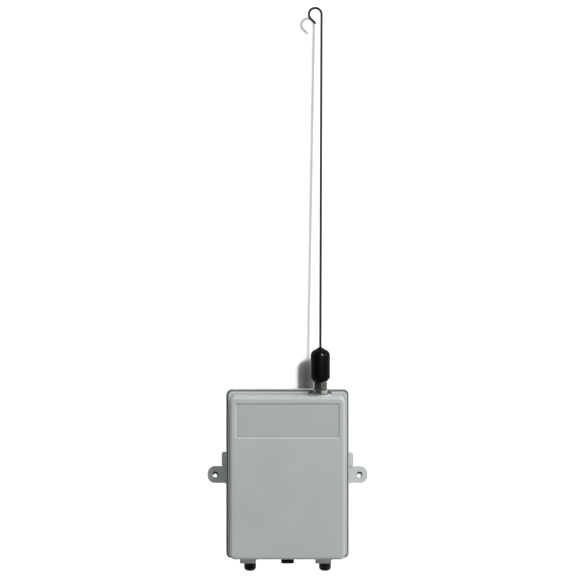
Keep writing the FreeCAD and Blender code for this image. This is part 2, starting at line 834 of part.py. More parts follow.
def front_cover():
    """The cover with its inner ribs, feet, slots, dimples and the notch round the tongue."""
    solids = [cover_shell()]
    tools = [tongue_prism("notch", "notch_gap", "tongue_under - notch_gap", "case_height / 2",
                          "seam - skirt_length - notch_gap")]
    for side, sign in (("left", "-"), ("right", "")):
        solids.append(block("roof_rib_" + side, "rib_thickness", "shell_height - cover_wall",
                            "rib_height + cover_roof / 2", f"{sign}rib_spacing / 2",
                            "-(shell_height - cover_wall) / 2", "case_depth - cover_roof - rib_height"))
        screw = f"{sign}screw_x"
        foot = f"{screw} - foot_shift"
        solids.append(block("foot_web_" + side, "foot_width", "floor_top - foot_bottom", "flange_thickness",
                            foot, "foot_bottom", "seam"))
        solids.append(block("foot_" + side, "foot_width", "foot_thickness",
                            "seam + flange_thickness - foot_rear", foot, "foot_bottom", "foot_rear"))
        tools.append(block("slot_" + side, "slot_width", "foot_thickness", "screw_depth - foot_rear",
                           screw, "foot_bottom", "foot_rear"))
        tools.append(upright("slot_end_" + side, "slot_width / 2", "foot_thickness", screw, "screw_depth",
                             "foot_bottom"))
        tools.append(forward("dimple_" + side, "dimple_diameter / 2", "dimple_depth",
                             f"{screw} - dimple_shift", "(foot_bottom + lug_bottom) / 2",
                             "seam + flange_thickness - dimple_depth"))
    return keep(cut("front_cover", fuse("cover_blank", solids), tools), "front_cover")


def label_plate():
    """Bare label that lies in the cover's recess."""
    body = doc.addObject("PartDesign::Body", "label_plate")
    inset = "(label_recess * tan(recess_slope) + label_gap)"
    outline = rounded_rectangle(body, "label_outline", "XZ_Plane", f"label_width - 2 * {inset}",
                                f"label_height - 2 * {inset}", "label_gap",
                                y="label_centre", offset="case_depth - label_recess")
    pad(body, "label", outline, "label_thickness")
    return keep(body, "label_plate")


# Thumbscrews and grommet

def thumbscrew(side, sign):
    """Round-ended head with a driver slot, and its steel shank."""
    x = f"{sign}screw_x"
    body = doc.addObject("PartDesign::Body", "knob_head_" + side)
    sketch = new_sketch(body, "knob_profile_" + side, "XZ_Plane")
    end = bend("knob_diameter / 2 - knob_round", "-knob_length + knob_round", "knob_round", "0", "-90")
    add_outline(sketch, [("0", "0"), ("knob_diameter / 2 - knob_edge", "0"),
                         ("knob_diameter / 2", "-knob_collar")] + end + [("0", "-knob_length")])
    revolve(body, "knob_turned_" + side, sketch)
    bind(body, x=x, y="-screw_depth", z="knob_top")
    slot = block("driver_slot_" + side, "knob_diameter", "driver_depth", "driver_slot", x,
                 "knob_top - knob_length", "screw_depth - driver_slot / 2")
    hole = upright("knob_hole_" + side, "shank_diameter / 2 + fit_gap", "shank_sink + fit_gap", x,
                   "screw_depth", "shank_bottom - fit_gap")
    keep(cut("knob_" + side, body, [slot, hole]), "knob_" + side)
    keep(upright("shank_" + side, "shank_diameter / 2", "shank_length", x, "screw_depth", "shank_bottom"),
         "shank_" + side)


def cover_inserts():
    """Two brass inserts in the tray's bosses."""
    rings = []
    for side, sign in (("left", "-"), ("right", "")):
        x = f"{sign}screw_x"
        sleeve = upright("insert_body_" + side, "insert_diameter / 2", "insert_length", x, "screw_depth",
                         "insert_bottom")
        bore = upright("insert_bore_" + side, "shank_diameter / 2 + running_gap", "insert_length", x,
                       "screw_depth", "insert_bottom")
        rings.append(cut("insert_" + side, sleeve, [bore]))
    return keep(group("cover_inserts", rings), "cover_inserts")


def wire_grommet():
    """Grooved rubber plug through the tray's bottom wall, with a round wire hole."""
    body = doc.addObject("PartDesign::Body", "grommet_plug")
    outer = rounded_rectangle(body, "grommet_outer", "XY_Plane", "grommet_width", "grommet_length",
                              "grommet_corner", y="-grommet_depth", offset="case_bottom - grommet_drop")
    pad(body, "grommet_outside", outer, "grommet_drop")
    neck = rounded_rectangle(body, "grommet_neck", "XY_Plane", "grommet_width - 2 * grommet_groove",
                             "grommet_length - 2 * grommet_groove", "grommet_corner - grommet_groove",
                             y="-grommet_depth", offset="case_bottom")
    pad(body, "grommet_through", neck, "floor_top - case_bottom")
    lip = rounded_rectangle(body, "grommet_lip", "XY_Plane", "grommet_width", "grommet_length",
                            "grommet_corner", y="-grommet_depth", offset="floor_top")
    pad(body, "grommet_inside", lip, "grommet_lip")
    bore = upright("wire_bore", "wire_hole / 2", "floor_top + grommet_lip - case_bottom + grommet_drop", "0",
                   "grommet_depth", "case_bottom - grommet_drop")
    return keep(cut("wire_grommet", body, [bore]), "wire_grommet")


# Circuit board and what it carries

def circuit_board():
    """Board with four screw holes, and its screws."""
    body = doc.addObject("PartDesign::Body", "circuit_board")
    outline = rounded_rectangle(body, "board_outline", "XZ_Plane", "board_width", "board_height",
                                "board_corner", y="board_centre", offset="board_back")
    pad(body, "board", outline, "board_thickness")
    holes = new_sketch(body, "board_holes", "XZ_Plane", y="board_centre", offset="board_front")
    add_circles(holes, "board_hole / 2", board_hole_places())
    pocket(body, "screw_holes", holes, "board_thickness")
    keep(body, "circuit_board")
    screws = []
    for number, (x, z) in enumerate(board_hole_places(), start=1):
        z = f"board_centre + {z}"
        shank = forward(f"board_shank_{number}", "board_screw / 2", "board_screw_length", x, z,
                        "board_front - board_screw_length")
        head = forward(f"board_head_{number}", "board_screw_head / 2", "board_screw_head_height", x, z,
                       "board_front")
        screws.append(fuse(f"board_screw_{number}", [shank, head]))
    keep(group("board_screws", screws), "board_screws")


def code_switch():
    """Slotted body of the code switch, and its row of levers."""
    body = doc.addObject("PartDesign::Body", "code_switch_body")
    outline = rounded_rectangle(body, "code_outline", "XZ_Plane", "code_length", "code_width",
                                "code_corner", x="code_x", y="code_z", offset="board_front")
    pad(body, "code_block", outline, "code_height")
    slot = new_sketch(body, "lever_slot_outline", "XZ_Plane", x="lever_first", y="code_z",
                      offset="board_front + code_height")
    add_rectangle(slot, "lever_slot_width", "lever_slot_length")
    slot_cut = pocket(body, "lever_slot", slot, "lever_slot_depth")
    row = body.newObject("PartDesign::LinearPattern", "lever_slots")
    row.Originals = [slot_cut]
    row.Direction = (outline, ["H_Axis"])
    bind(row, Length="(lever_count - 1) * lever_pitch", Occurrences="lever_count")
    body.Tip = row
    keep(body, "code_switch_body")
    for number in range(int(size("lever_count"))):
        lever = block(f"lever_{number}", "lever_width", "lever_length",
                      "lever_slot_depth - lever_gap + lever_stand",
                      f"lever_first + {number} * lever_pitch", "lever_rest",
                      "board_front + code_height - lever_slot_depth + lever_gap")
        keep(lever, f"code_lever_{number + 1}")


def terminals():
    """Terminal block with wire chambers and screw wells, its cages and its screws."""
    body = doc.addObject("PartDesign::Body", "terminal_block")
    outline = rounded_rectangle(body, "terminal_outline", "XZ_Plane", "terminal_length", "terminal_width",
                                "terminal_corner", x="terminal_x", y="terminal_z", offset="board_front")
    pad(body, "terminal_blank", outline, "terminal_height")
    entry = new_sketch(body, "chamber_outline", "XY_Plane", x="terminal_first",
                       y="-(board_front + chamber_floor + chamber_height / 2)", offset="terminal_low")
    add_rectangle(entry, "chamber_width", "chamber_height")
    chamber = pocket(body, "chamber", entry, "chamber_length", backwards=True)
    well_outline = new_sketch(body, "well_outline", "XZ_Plane", x="terminal_first", y="cage_z",
                              offset="board_front + terminal_height")
    add_circles(well_outline, "well_diameter / 2", [("0", "0")])
    well = pocket(body, "well", well_outline, "terminal_height - chamber_floor - chamber_height / 2")
    row = body.newObject("PartDesign::LinearPattern", "terminal_row")
    row.Originals = [chamber, well]
    row.Direction = (outline, ["H_Axis"])
    bind(row, Length="(terminal_count - 1) * terminal_pitch", Occurrences="terminal_count")
    body.Tip = row
    keep(body, "terminal_block")
    cages = []
    for number in range(int(size("terminal_count"))):
        x = f"terminal_first + {number} * terminal_pitch"
        frame = block(f"cage_block_{number}", "cage_width", "cage_length", "cage_height", x, "cage_low",
                      "cage_back")
        window = block(f"cage_window_{number}", "cage_width - 2 * cage_wall", "cage_length",
                       "cage_height - 2 * cage_wall", x, "cage_low", "cage_back + cage_wall")
        tapped = forward(f"cage_hole_{number}", "terminal_screw_shank / 2 + running_gap", "2 * cage_wall", x,
                         "cage_z", "cage_back + cage_height - 1.5 * cage_wall")
        cages.append(cut(f"cage_{number}", frame, [window, tapped]))
        shank = forward(f"terminal_shank_{number}", "terminal_screw_shank / 2", "terminal_screw_length", x,
                        "cage_z", "terminal_head - terminal_screw_length")
        head = forward(f"terminal_head_{number}", "terminal_screw_head / 2", "terminal_screw_head_height", x,
                       "cage_z", "terminal_head")
        slot = pile(f"terminal_slot_{number}", "terminal_screw_head", "terminal_slot_width",
                    "terminal_slot_depth", x, "cage_z",
                    "terminal_head + terminal_screw_head_height - terminal_slot_depth")
        screw = cut(f"terminal_screw_{number}", fuse(f"terminal_screw_blank_{number}", [shank, head]), [slot])
        keep(screw, f"terminal_screw_{number + 1}")
    keep(group("terminal_cages", cages), "terminal_cages")


def relay():
    """Sealed relay."""
    body = doc.addObject("PartDesign::Body", "relay")
    outline = rounded_rectangle(body, "relay_outline", "XZ_Plane", "relay_width", "relay_length",
                                "relay_round", x="relay_x", y="relay_z", offset="board_front")
    block_pad = pad(body, "relay_case", outline, "relay_height")
    top = -size("board_front") - size("relay_height")
    chamfer(body, "relay_edge", block_pad, lambda point: close(point.y, top), "relay_round / 2")
    keep(body, "relay")


def voltage_regulator():
    """Upright three-leg regulator with a holed tab."""
    x = "regulator_x"
    low = "regulator_z - regulator_thickness / 2"
    body = block("regulator_body", "regulator_width", "regulator_thickness", "regulator_body", x, low,
                 "board_front + regulator_lead")
    tab = block("regulator_tab", "regulator_width", "regulator_tab",
                "regulator_body + regulator_tab_height", x, f"{low} + regulator_thickness - regulator_tab",
                "board_front + regulator_lead")
    legs = [block(f"regulator_leg_{number}", "regulator_lead_width", "regulator_lead_thickness",
                  "regulator_lead", f"{x} + {number} * regulator_lead_pitch", "regulator_z", "board_front")
            for number in (-1, 0, 1)]
    hole = upright("regulator_hole", "regulator_tab_hole / 2", "regulator_thickness", x,
                   "board_front + regulator_lead + regulator_body + regulator_tab_height / 2", low)
    keep(cut("voltage_regulator", fuse("regulator_blank", [body, tab] + legs), [hole]), "voltage_regulator")


def filter_capacitors():
    """Two round cans of different size."""
    cans = []
    for name in ("large_can", "small_can"):
        body = doc.addObject("PartDesign::Body", name)
        sketch = new_sketch(body, name + "_outline", "XZ_Plane", x=name + "_x", y=name + "_z",
                            offset="board_front")
        add_circles(sketch, name + " / 2", [("0", "0")])
        can = pad(body, name + "_pad", sketch, name + "_height")
        top = -size("board_front") - size(name + "_height")
        chamfer(body, name + "_edge", can, lambda point, level=top: close(point.y, level), "can_chamfer")
        cans.append(body)
    keep(group("filter_capacitors", cans), "filter_capacitors")


def chip(name):
    """Two-row chip body with a half-round notch at its left end."""
    x = name + "_x"
    body = pile(name + "_body", name + "_length", "chip_width", "chip_height", x, name + "_z", "chip_back")
    notch = forward(name + "_notch", "chip_notch / 2", "chip_notch_depth", f"{x} - {name}_length / 2",
                    name + "_z", "chip_back + chip_height - chip_notch_depth")
    legs = pile(name + "_legs", f"{name}_length - 2 * chip_leg_inset", "chip_width + 2 * chip_leg_reach",
                "chip_leg_height", x, name + "_z", "board_front")
    keep(cut(name + "_chip", fuse(name + "_blank", [body, legs]), [notch]), name + "_chip")


def small_parts():
    """Rows of axial parts, discs and transistors, each row one group."""
    resistors = []
    for number in range(int(size("resistor_count"))):
        resistors.append(sideways(f"resistor_{number}", "resistor_diameter / 2", "resistor_length",
                                  "resistor_x", f"resistor_z + {number} * resistor_pitch",
                                  "board_front + resistor_diameter / 2 + part_gap"))
    keep(group("resistors", resistors), "resistors")
    diodes = []
    for number in range(int(size("diode_count"))):
        diodes.append(sideways(f"diode_{number}", "diode_diameter / 2", "diode_length", "diode_x",
                               f"diode_z + {number} * diode_pitch",
                               "board_front + diode_diameter / 2 + part_gap"))
    keep(group("diodes", diodes), "diodes")
    discs = []
    for number in range(int(size("disc_count"))):
        discs.append(sideways(f"disc_{number}", "disc_diameter / 2", "disc_thickness",
                              f"disc_x + {number} * disc_pitch", "disc_z",
                              "board_front + disc_diameter / 2 + part_gap"))
    keep(group("disc_capacitors", discs), "disc_capacitors")
    transistors = []
    for number in range(2):
        x = f"transistor_x + {number} * transistor_pitch"
        can = forward(f"transistor_round_{number}", "transistor_diameter / 2", "transistor_height", x,
                      "transistor_z", "board_front")
        flat = block(f"transistor_flat_{number}", "transistor_diameter", "transistor_diameter",
                     "transistor_height", x, "transistor_z + transistor_flat", "board_front")
        transistors.append(cut(f"transistor_{number}", can, [flat]))
    keep(group("transistors", transistors), "transistors")


def coil():
    """Shield can, coil former and the slug that tunes it."""
    can = pile("can_block", "coil_can_side", "coil_can_side", "coil_can_height", "coil_x", "coil_z",
               "board_front")
    room = pile("can_room", "coil_can_side - 2 * coil_can_sheet", "coil_can_side - 2 * coil_can_sheet",
                "coil_can_height - coil_can_sheet", "coil_x", "coil_z", "board_front")
    mouth = forward("can_mouth", "coil_can_hole / 2", "coil_can_height", "coil_x", "coil_z", "board_front")
    keep(cut("coil_can", can, [room, mouth]), "coil_can")
    base = pile("former_foot", "former_base", "former_base", "former_base_height", "coil_x", "coil_z",
                "board_front")
    tube = forward("former_tube", "former_diameter / 2", "former_base_height + former_height", "coil_x",
                   "coil_z", "board_front")
    bore = forward("former_bore", "slug_diameter / 2 + running_gap", "former_height", "coil_x", "coil_z",
                   "board_front + former_base_height")
    keep(cut("coil_former", fuse("former_blank", [base, tube]), [bore]), "coil_former")
    slug = forward("slug_rod", "slug_diameter / 2", "slug_length", "coil_x", "coil_z", "slug_low")
    slot = pile("slug_slot", "slug_diameter", "slug_slot", "2 * slug_slot", "coil_x", "coil_z",
                "slug_low + slug_length - 2 * slug_slot")
    keep(cut("tuning_slug", slug, [slot]), "tuning_slug")


def resonator():
    """Flat metal can with a thin lip at its foot."""
    body = doc.addObject("PartDesign::Body", "resonator")
    for name, grow, height in (("resonator_foot", "2 * resonator_lip_reach", "resonator_lip"),
                               ("resonator_can", "0", "resonator_height")):
        outline = rounded_rectangle(body, name + "_outline", "XZ_Plane", f"resonator_length + {grow}",
                                    f"resonator_width + {grow}", f"(resonator_width + {grow}) / 2 - fit_gap",
                                    x="resonator_x", y="resonator_z", offset="board_front")
        pad(body, name, outline, height)
    keep(body, "resonator")


def jumper():
    """Pin header and the plug that bridges two of its pins."""
    parts = [pile("header_base", "header_count * header_pitch", "header_pitch", "header_pitch", "header_x",
                  "header_z", "board_front")]
    for number in range(int(size("header_count"))):
        parts.append(pile(f"header_pin_{number}", "header_pin", "header_pin", "header_pin_height",
                          f"header_x + ({number} - (header_count - 1) / 2) * header_pitch", "header_z",
                          "board_front"))
    keep(fuse("jumper_header", parts), "jumper_header")
    middle = "header_x - (header_count - 2) / 2 * header_pitch"
    plug = pile("plug_block", "plug_length", "plug_width", "plug_height", middle, "header_z",
                "board_front + header_pitch + plug_gap")
    room = pile("plug_room", "plug_length - 2 * plug_wall", "plug_width - 2 * plug_wall",
                "plug_height - plug_roof", middle, "header_z", "board_front + header_pitch + plug_gap")
    keep(cut("jumper_plug", plug, [room]), "jumper_plug")


# Antenna jack

def antenna_jack():
    """Threaded barrel through the tongue, its insulator, contact, washer, nut and lead."""
    axis = ("antenna_offset", "antenna_depth")
    barrel = upright("jack_barrel", "barrel_diameter / 2", "barrel_top - barrel_low", *axis, "barrel_low")
    shoulder = hexagon("jack_shoulder_hex", "jack_shoulder", "jack_shoulder_height", *axis, "shoulder_low")
    bore = upright("jack_bore_hole", "jack_bore / 2", "barrel_top - barrel_low", *axis, "barrel_low")
    keep(cut("antenna_jack", fuse("jack_blank", [barrel, shoulder]), [bore]), "antenna_jack")
    plug = upright("insulator_plug", "jack_bore / 2 - fit_gap", "barrel_top - barrel_low - insulator_recess",
                   *axis, "barrel_low")
    core = upright("insulator_core", "contact_diameter / 2 + fit_gap", "barrel_top - barrel_low", *axis,
                   "barrel_low")
    keep(cut("jack_insulator", plug, [core]), "jack_insulator")
    contact = upright("contact_rod", "contact_diameter / 2", "barrel_top - insulator_recess - contact_low",
                      *axis, "contact_low")
    socket = upright("contact_socket", "contact_bore / 2", "barrel_top - contact_low", *axis,
                     "contact_low + contact_floor")
    keep(cut("jack_contact", contact, [socket]), "jack_contact")
    for label, disc in (("jack_washer", upright("washer_disc", "washer_diameter / 2", "washer_thickness",
                                                *axis, "washer_low")),
                        ("jack_locknut", hexagon("locknut_hex", "locknut_flats", "locknut_height", *axis,
                                                 "locknut_low"))):
        hole = upright(label + "_hole", "barrel_diameter / 2 + fit_gap",
                       "washer_thickness + locknut_height", *axis, "washer_low")
        keep(cut(label, disc, [hole]), label)


def antenna_lead():
    """Short coaxial lead from the contact down and back to the board."""
    body = doc.addObject("PartDesign::Body", "antenna_lead")
    route = new_sketch(body, "lead_route", "YZ_Plane")
    start = vector(-size("antenna_depth"), size("contact_low"), 0)
    radius = size("lead_bend")
    drop = size("lead_drop") - radius / 2
    front = -size("board_front")
    corner = start - vector(0, drop, 0)
    centre = corner + vector(radius, 0, 0)
    low = centre - vector(0, radius, 0)
    route.addGeometry([
        Part.LineSegment(start, corner),
        Part.ArcOfCircle(Part.Circle(centre, vector(0, 0, 1), radius), math.pi, 1.5 * math.pi),
        Part.LineSegment(low, vector(front, low.y, 0)),
    ], False)
    route.addConstraint([
        Sketcher.Constraint("Vertical", 0), Sketcher.Constraint("Horizontal", 2),
        Sketcher.Constraint("Tangent", 0, 2, 1, 1), Sketcher.Constraint("Tangent", 1, 2, 2, 1),
    ])
    constrain(route, "start_y", Sketcher.Constraint("DistanceX", -1, 1, 0, 1, start.x), "-antenna_depth")
    constrain(route, "start_z", Sketcher.Constraint("DistanceY", -1, 1, 0, 1, start.y), "contact_low")
    constrain(route, "drop", Sketcher.Constraint("DistanceY", 0, 2, 0, 1, drop), "lead_drop - lead_bend / 2")
    constrain(route, "bend", Sketcher.Constraint("Radius", 1, radius), "lead_bend")
    constrain(route, "end_y", Sketcher.Constraint("DistanceX", -1, 1, 2, 2, front), "-board_front")
    section = new_sketch(body, "lead_section", "XY_Plane", y="-antenna_depth", offset="contact_low")
    add_circles(section, "lead_diameter / 2", [("0", "0")])
    pipe = body.newObject("PartDesign::AdditivePipe", "lead_pipe")
    pipe.Profile = section
    pipe.Spine = (route, ["Edge1", "Edge2", "Edge3"])
    bind(body, x="antenna_offset")
    keep(body, "antenna_lead")


# Antenna

def coupling_nut():
    """Six-sided nut that holds the plug's collar down on the barrel."""
    axis = ("antenna_offset", "antenna_depth")
    nut = hexagon("coupling_hex", "coupling_flats", "coupling_height", *axis, "coupling_low")
    thread = upright("coupling_thread", "barrel_diameter / 2 + running_gap", "coupling_height - coupling_web",
                     *axis, "coupling_low")
    throat = upright("coupling_throat", "sleeve_diameter / 2 + running_gap", "coupling_height", *axis,
                     "coupling_low")
    keep(cut("coupling_nut", nut, [thread, throat]), "coupling_nut")


def whip_lean():
    """Placement that leans the whip to the right and back towards the wall."""
    right = FreeCAD.Rotation(vector(0, 1, 0), size("whip_lean"))
    back = FreeCAD.Rotation(vector(1, 0, 0), -size("whip_back_lean"))
    return FreeCAD.Placement(vector(), right * back)


def antenna_base():
    """Moulded foot of the whip: tapered bottom, round shoulders and a small cone."""
    body = doc.addObject("PartDesign::Body", "base_moulding")
    sketch = new_sketch(body, "base_profile", "XZ_Plane")
    shoulder = bend("base_diameter / 2 - base_round", "base_height - base_shoulder", "base_round", "0",
                    "base_turn")
    add_outline(sketch, [("0", "0"), ("base_diameter / 2 - base_foot_inset", "0"),
                         ("base_diameter / 2", "base_foot_height")] + shoulder
                + [("base_tip_diameter / 2", "base_height - base_tip_height"),
                   ("whip_diameter / 2 + base_tip_land", "base_height"), ("0", "base_height")])
    revolve(body, "base_turned", sketch)
    bind(body, x="antenna_offset", y="-antenna_depth", z="base_low")
    axis = ("antenna_offset", "antenna_depth")
    shank = upright("base_shank_hole", "sleeve_diameter / 2 + fit_gap", "sleeve_height", *axis, "base_low")
    pin = upright("base_pin_hole", "pin_diameter / 2 + fit_gap", "base_height - whip_root", *axis, "base_low")
    wire = upright("base_wire_hole", "whip_diameter / 2 + fit_gap", "base_height", *axis, "whip_foot")
    wire.Placement = whip_lean()
    bind(wire, x="antenna_offset", y="-antenna_depth", z="whip_foot")
    keep(cut("antenna_base", body, [shank, pin, wire]), "antenna_base")


def antenna_core():
    """Sleeve, insulator and pin inside the antenna's foot."""
    axis = ("antenna_offset", "antenna_depth")
    collar = upright("sleeve_collar_disc", "sleeve_collar / 2", "sleeve_collar_height", *axis, "collar_low")
    tube = upright("sleeve_tube", "sleeve_diameter / 2", "sleeve_top - collar_low", *axis, "collar_low")
    bore = upright("sleeve_bore_hole", "sleeve_bore / 2", "sleeve_top - collar_low", *axis, "collar_low")
    keep(cut("antenna_sleeve", fuse("sleeve_blank", [collar, tube]), [bore]), "antenna_sleeve")
    filler = upright("filler_rod", "sleeve_bore / 2 - fit_gap", "sleeve_top - collar_low", *axis,
                     "collar_low")
    core = upright("filler_bore", "pin_diameter / 2 + fit_gap", "sleeve_top - collar_low", *axis,
                   "collar_low")
    keep(cut("antenna_insulator", filler, [core]), "antenna_insulator")
    keep(upright("antenna_pin", "pin_diameter / 2", "whip_foot - barrel_top + pin_reach - fit_gap", *axis,
                 "barrel_top - pin_reach"), "antenna_pin")


def antenna_whip():
    """Wire whip that leans back a little and ends in a small open eye to the left."""
    body = doc.addObject("PartDesign::Body", "antenna_whip")
    spine = new_sketch(body, "whip_route", "XZ_Plane")
    turn = math.radians(size("tip_turn"))
    tall = size("whip_height")
    radius = size("tip_radius")
    leg = size("tip_leg")
    end = vector(radius * math.cos(turn) - radius, tall + radius * math.sin(turn), 0)
    spine.addGeometry([
        Part.LineSegment(vector(0, 0, 0), vector(0, tall, 0)),
        Part.ArcOfCircle(Part.Circle(vector(-radius, tall, 0), vector(0, 0, 1), radius), 0, turn),
        Part.LineSegment(end, end + vector(-leg * math.sin(turn), leg * math.cos(turn), 0)),
    ], False)
    spine.addConstraint([
        Sketcher.Constraint("Coincident", 0, 1, -1, 1), Sketcher.Constraint("Vertical", 0),
        Sketcher.Constraint("Tangent", 0, 2, 1, 1), Sketcher.Constraint("Tangent", 1, 2, 2, 1),
    ])
    constrain(spine, "straight", Sketcher.Constraint("DistanceY", 0, 1, 0, 2, tall), "whip_height")
    constrain(spine, "eye", Sketcher.Constraint("Radius", 1, radius), "tip_radius")
    constrain(spine, "leg", Sketcher.Constraint("Distance", 2, leg), "tip_leg")
    index = spine.addConstraint(Sketcher.Constraint("Angle", 2, turn + math.pi / 2 - 2 * math.pi))
    spine.renameConstraint(index, "turn")
    spine.setExpression("Constraints.turn", formula("tip_turn - 270"))
    section = new_sketch(body, "whip_section", "XY_Plane")
    add_circles(section, "whip_diameter / 2", [("0", "0")])
    pipe = body.newObject("PartDesign::AdditivePipe", "whip_pipe")
    pipe.Profile = section
    pipe.Spine = (spine, ["Edge1", "Edge2", "Edge3"])
    body.Placement = whip_lean()
    bind(body, x="antenna_offset", y="-antenna_depth", z="whip_foot")
    keep(body, "antenna_whip")


rear_housing()
cover_gasket()
front_cover()
label_plate()
thumbscrew("left", "-")
thumbscrew("right", "")
cover_inserts()
wire_grommet()
circuit_board()
code_switch()
terminals()
relay()
voltage_regulator()
filter_capacitors()
chip("decoder")
chip("amplifier")
small_parts()
coil()
resonator()
jumper()
antenna_jack()
antenna_lead()
coupling_nut()
antenna_base()
antenna_core()
antenna_whip()
doc.recompute()

for item in doc.Objects:
    if "Invalid" in item.State or "Error" in item.State:
        raise ValueError(f"{item.Name} failed: {item.State}")
for item in pieces:
    if item.Shape.isNull() or not item.Shape.isValid():
        raise ValueError(f"{item.Label} has no valid shape")
for item in pieces:
    item.Shape.exportStep(f"parts/{item.Label}.step")
print(len(pieces), "sub-parts written")
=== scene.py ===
import json
import math

import bmesh
import bpy
from mathutils import Matrix, Vector

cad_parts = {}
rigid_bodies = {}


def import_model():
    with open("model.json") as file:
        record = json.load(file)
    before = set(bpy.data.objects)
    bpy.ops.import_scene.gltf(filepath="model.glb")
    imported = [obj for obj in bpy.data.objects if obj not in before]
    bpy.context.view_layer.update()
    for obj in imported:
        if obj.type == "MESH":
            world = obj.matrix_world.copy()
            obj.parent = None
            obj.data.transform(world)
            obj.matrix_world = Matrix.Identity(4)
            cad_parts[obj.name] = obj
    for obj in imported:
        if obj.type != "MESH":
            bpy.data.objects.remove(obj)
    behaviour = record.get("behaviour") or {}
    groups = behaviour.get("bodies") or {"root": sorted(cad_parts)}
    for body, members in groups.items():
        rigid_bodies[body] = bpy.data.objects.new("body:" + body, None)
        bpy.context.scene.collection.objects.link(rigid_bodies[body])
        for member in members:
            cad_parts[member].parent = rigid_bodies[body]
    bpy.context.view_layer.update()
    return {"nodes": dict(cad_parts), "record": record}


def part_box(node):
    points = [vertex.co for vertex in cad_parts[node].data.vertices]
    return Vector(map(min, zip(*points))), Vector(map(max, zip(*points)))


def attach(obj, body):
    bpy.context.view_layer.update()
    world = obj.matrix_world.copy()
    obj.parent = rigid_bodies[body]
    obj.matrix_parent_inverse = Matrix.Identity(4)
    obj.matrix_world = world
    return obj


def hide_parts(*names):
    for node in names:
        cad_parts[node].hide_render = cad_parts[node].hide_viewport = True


# Gate opener receiver on a white wall. Metres; X right, Z up, the front faces -Y.
# Sizes of pieces and surfaces are millimetres, and a depth d means y = -d.

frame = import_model()
nodes = frame["nodes"]
mm = 0.001
print("frame loaded:", len(nodes), "nodes")

scene = bpy.context.scene
scene.view_settings.view_transform = "Standard"


def addObject(name, data):
    thing = bpy.data.objects.new(name, data)
    scene.collection.objects.link(thing)
    return thing


def hideFrom(thing, *sights):
    for sight in sights:
        setattr(thing, "visible_" + sight, False)


# Mesh tools

def spot(x, depth, z):
    return Vector((x, -depth, z)) * mm


def beside(kind, centre, x, y, height):
    # Point beside an axis: "up" stands on Z, "front" comes out of the wall, "side" lies along X
    one, two = centre
    if kind == "up":
        return Vector((one + x, -two + y, height)) * mm
    if kind == "front":
        return Vector((one + x, -height, two + y)) * mm
    return Vector((height, -one + x, two + y)) * mm


def ringOf(kind, centre, outline, height):
    return [beside(kind, centre, x, y, height) for x, y in outline]


def ringAt(kind, centre, radius, height, sides, shape=None):
    # Ring round an axis; shape can give another radius at each angle
    outline = []
    for i in range(sides):
        angle = 2 * math.pi * i / sides
        grown = shape(angle, radius, height) if shape else radius
        outline.append((grown * math.cos(angle), grown * math.sin(angle)))
    return ringOf(kind, centre, outline, height)


def addRings(bm, rings, index=0, caps=(1, 1)):
    # Skin over rings of points, where one point alone is a tip; caps close the first and the last ring
    rings = [[bm.verts.new(point) for point in ring] for ring in rings]
    count = max(len(ring) for ring in rings)
    faces = []
    for low, high in zip(rings, rings[1:]):
        for i in range(count):
            j = (i + 1) % count
            if len(low) == 1:
                corners = (low[0], high[j], high[i])
            elif len(high) == 1:
                corners = (low[i], low[j], high[0])
            else:
                corners = (low[i], low[j], high[j], high[i])
            faces.append(bm.faces.new(corners))
    if caps[0] and len(rings[0]) > 2:
        faces.append(bm.faces.new(rings[0][::-1]))
    if caps[1] and len(rings[-1]) > 2:
        faces.append(bm.faces.new(rings[-1]))
    for face in faces:
        face.material_index = index
    return faces


def addLathe(bm, kind, centre, profile, sides=64, index=0, shape=None, caps=(1, 1)):
    # Turned form from (radius, height) pairs
    rings = []
    for radius, height in profile:
        if radius < 1e-6:
            rings.append([beside(kind, centre, 0, 0, height)])
        else:
            rings.append(ringAt(kind, centre, radius, height, sides, shape))
    return addRings(bm, rings, index, caps)


def roundRect(width, height, radius, steps=5):
    points = []
    for quarter in range(4):
        cx = (width / 2 - radius) * (1 if quarter in (0, 3) else -1)
        cy = (height / 2 - radius) * (1 if quarter in (0, 1) else -1)
        for step in range(steps + 1):
            angle = (quarter + step / steps) * math.pi / 2
            points.append((cx + radius * math.cos(angle), cy + radius * math.sin(angle)))
    return points


def addSlab(bm, kind, centre, size, radius, low, high, bevelLow=0.2, bevelHigh=0.2, index=0, steps=5):
    # Round-cornered block with round edges
    width, height = size
    rows = []
    for bevel, start, sign in ((bevelLow, low, 1), (bevelHigh, high, -1)):
        part = []
        for angle in (0, 30, 60, 90) if bevel > 0 else (90,):
            turn = math.radians(angle)
            part.append((bevel * (1 - math.sin(turn)), start + sign * bevel * (1 - math.cos(turn))))
        rows += part[::sign]
    rings = []
    for inset, level in rows:
        outline = roundRect(width - 2 * inset, height - 2 * inset, max(radius - inset, 0.02), steps)
        rings.append(ringOf(kind, centre, outline, level))
    return addRings(bm, rings, index)


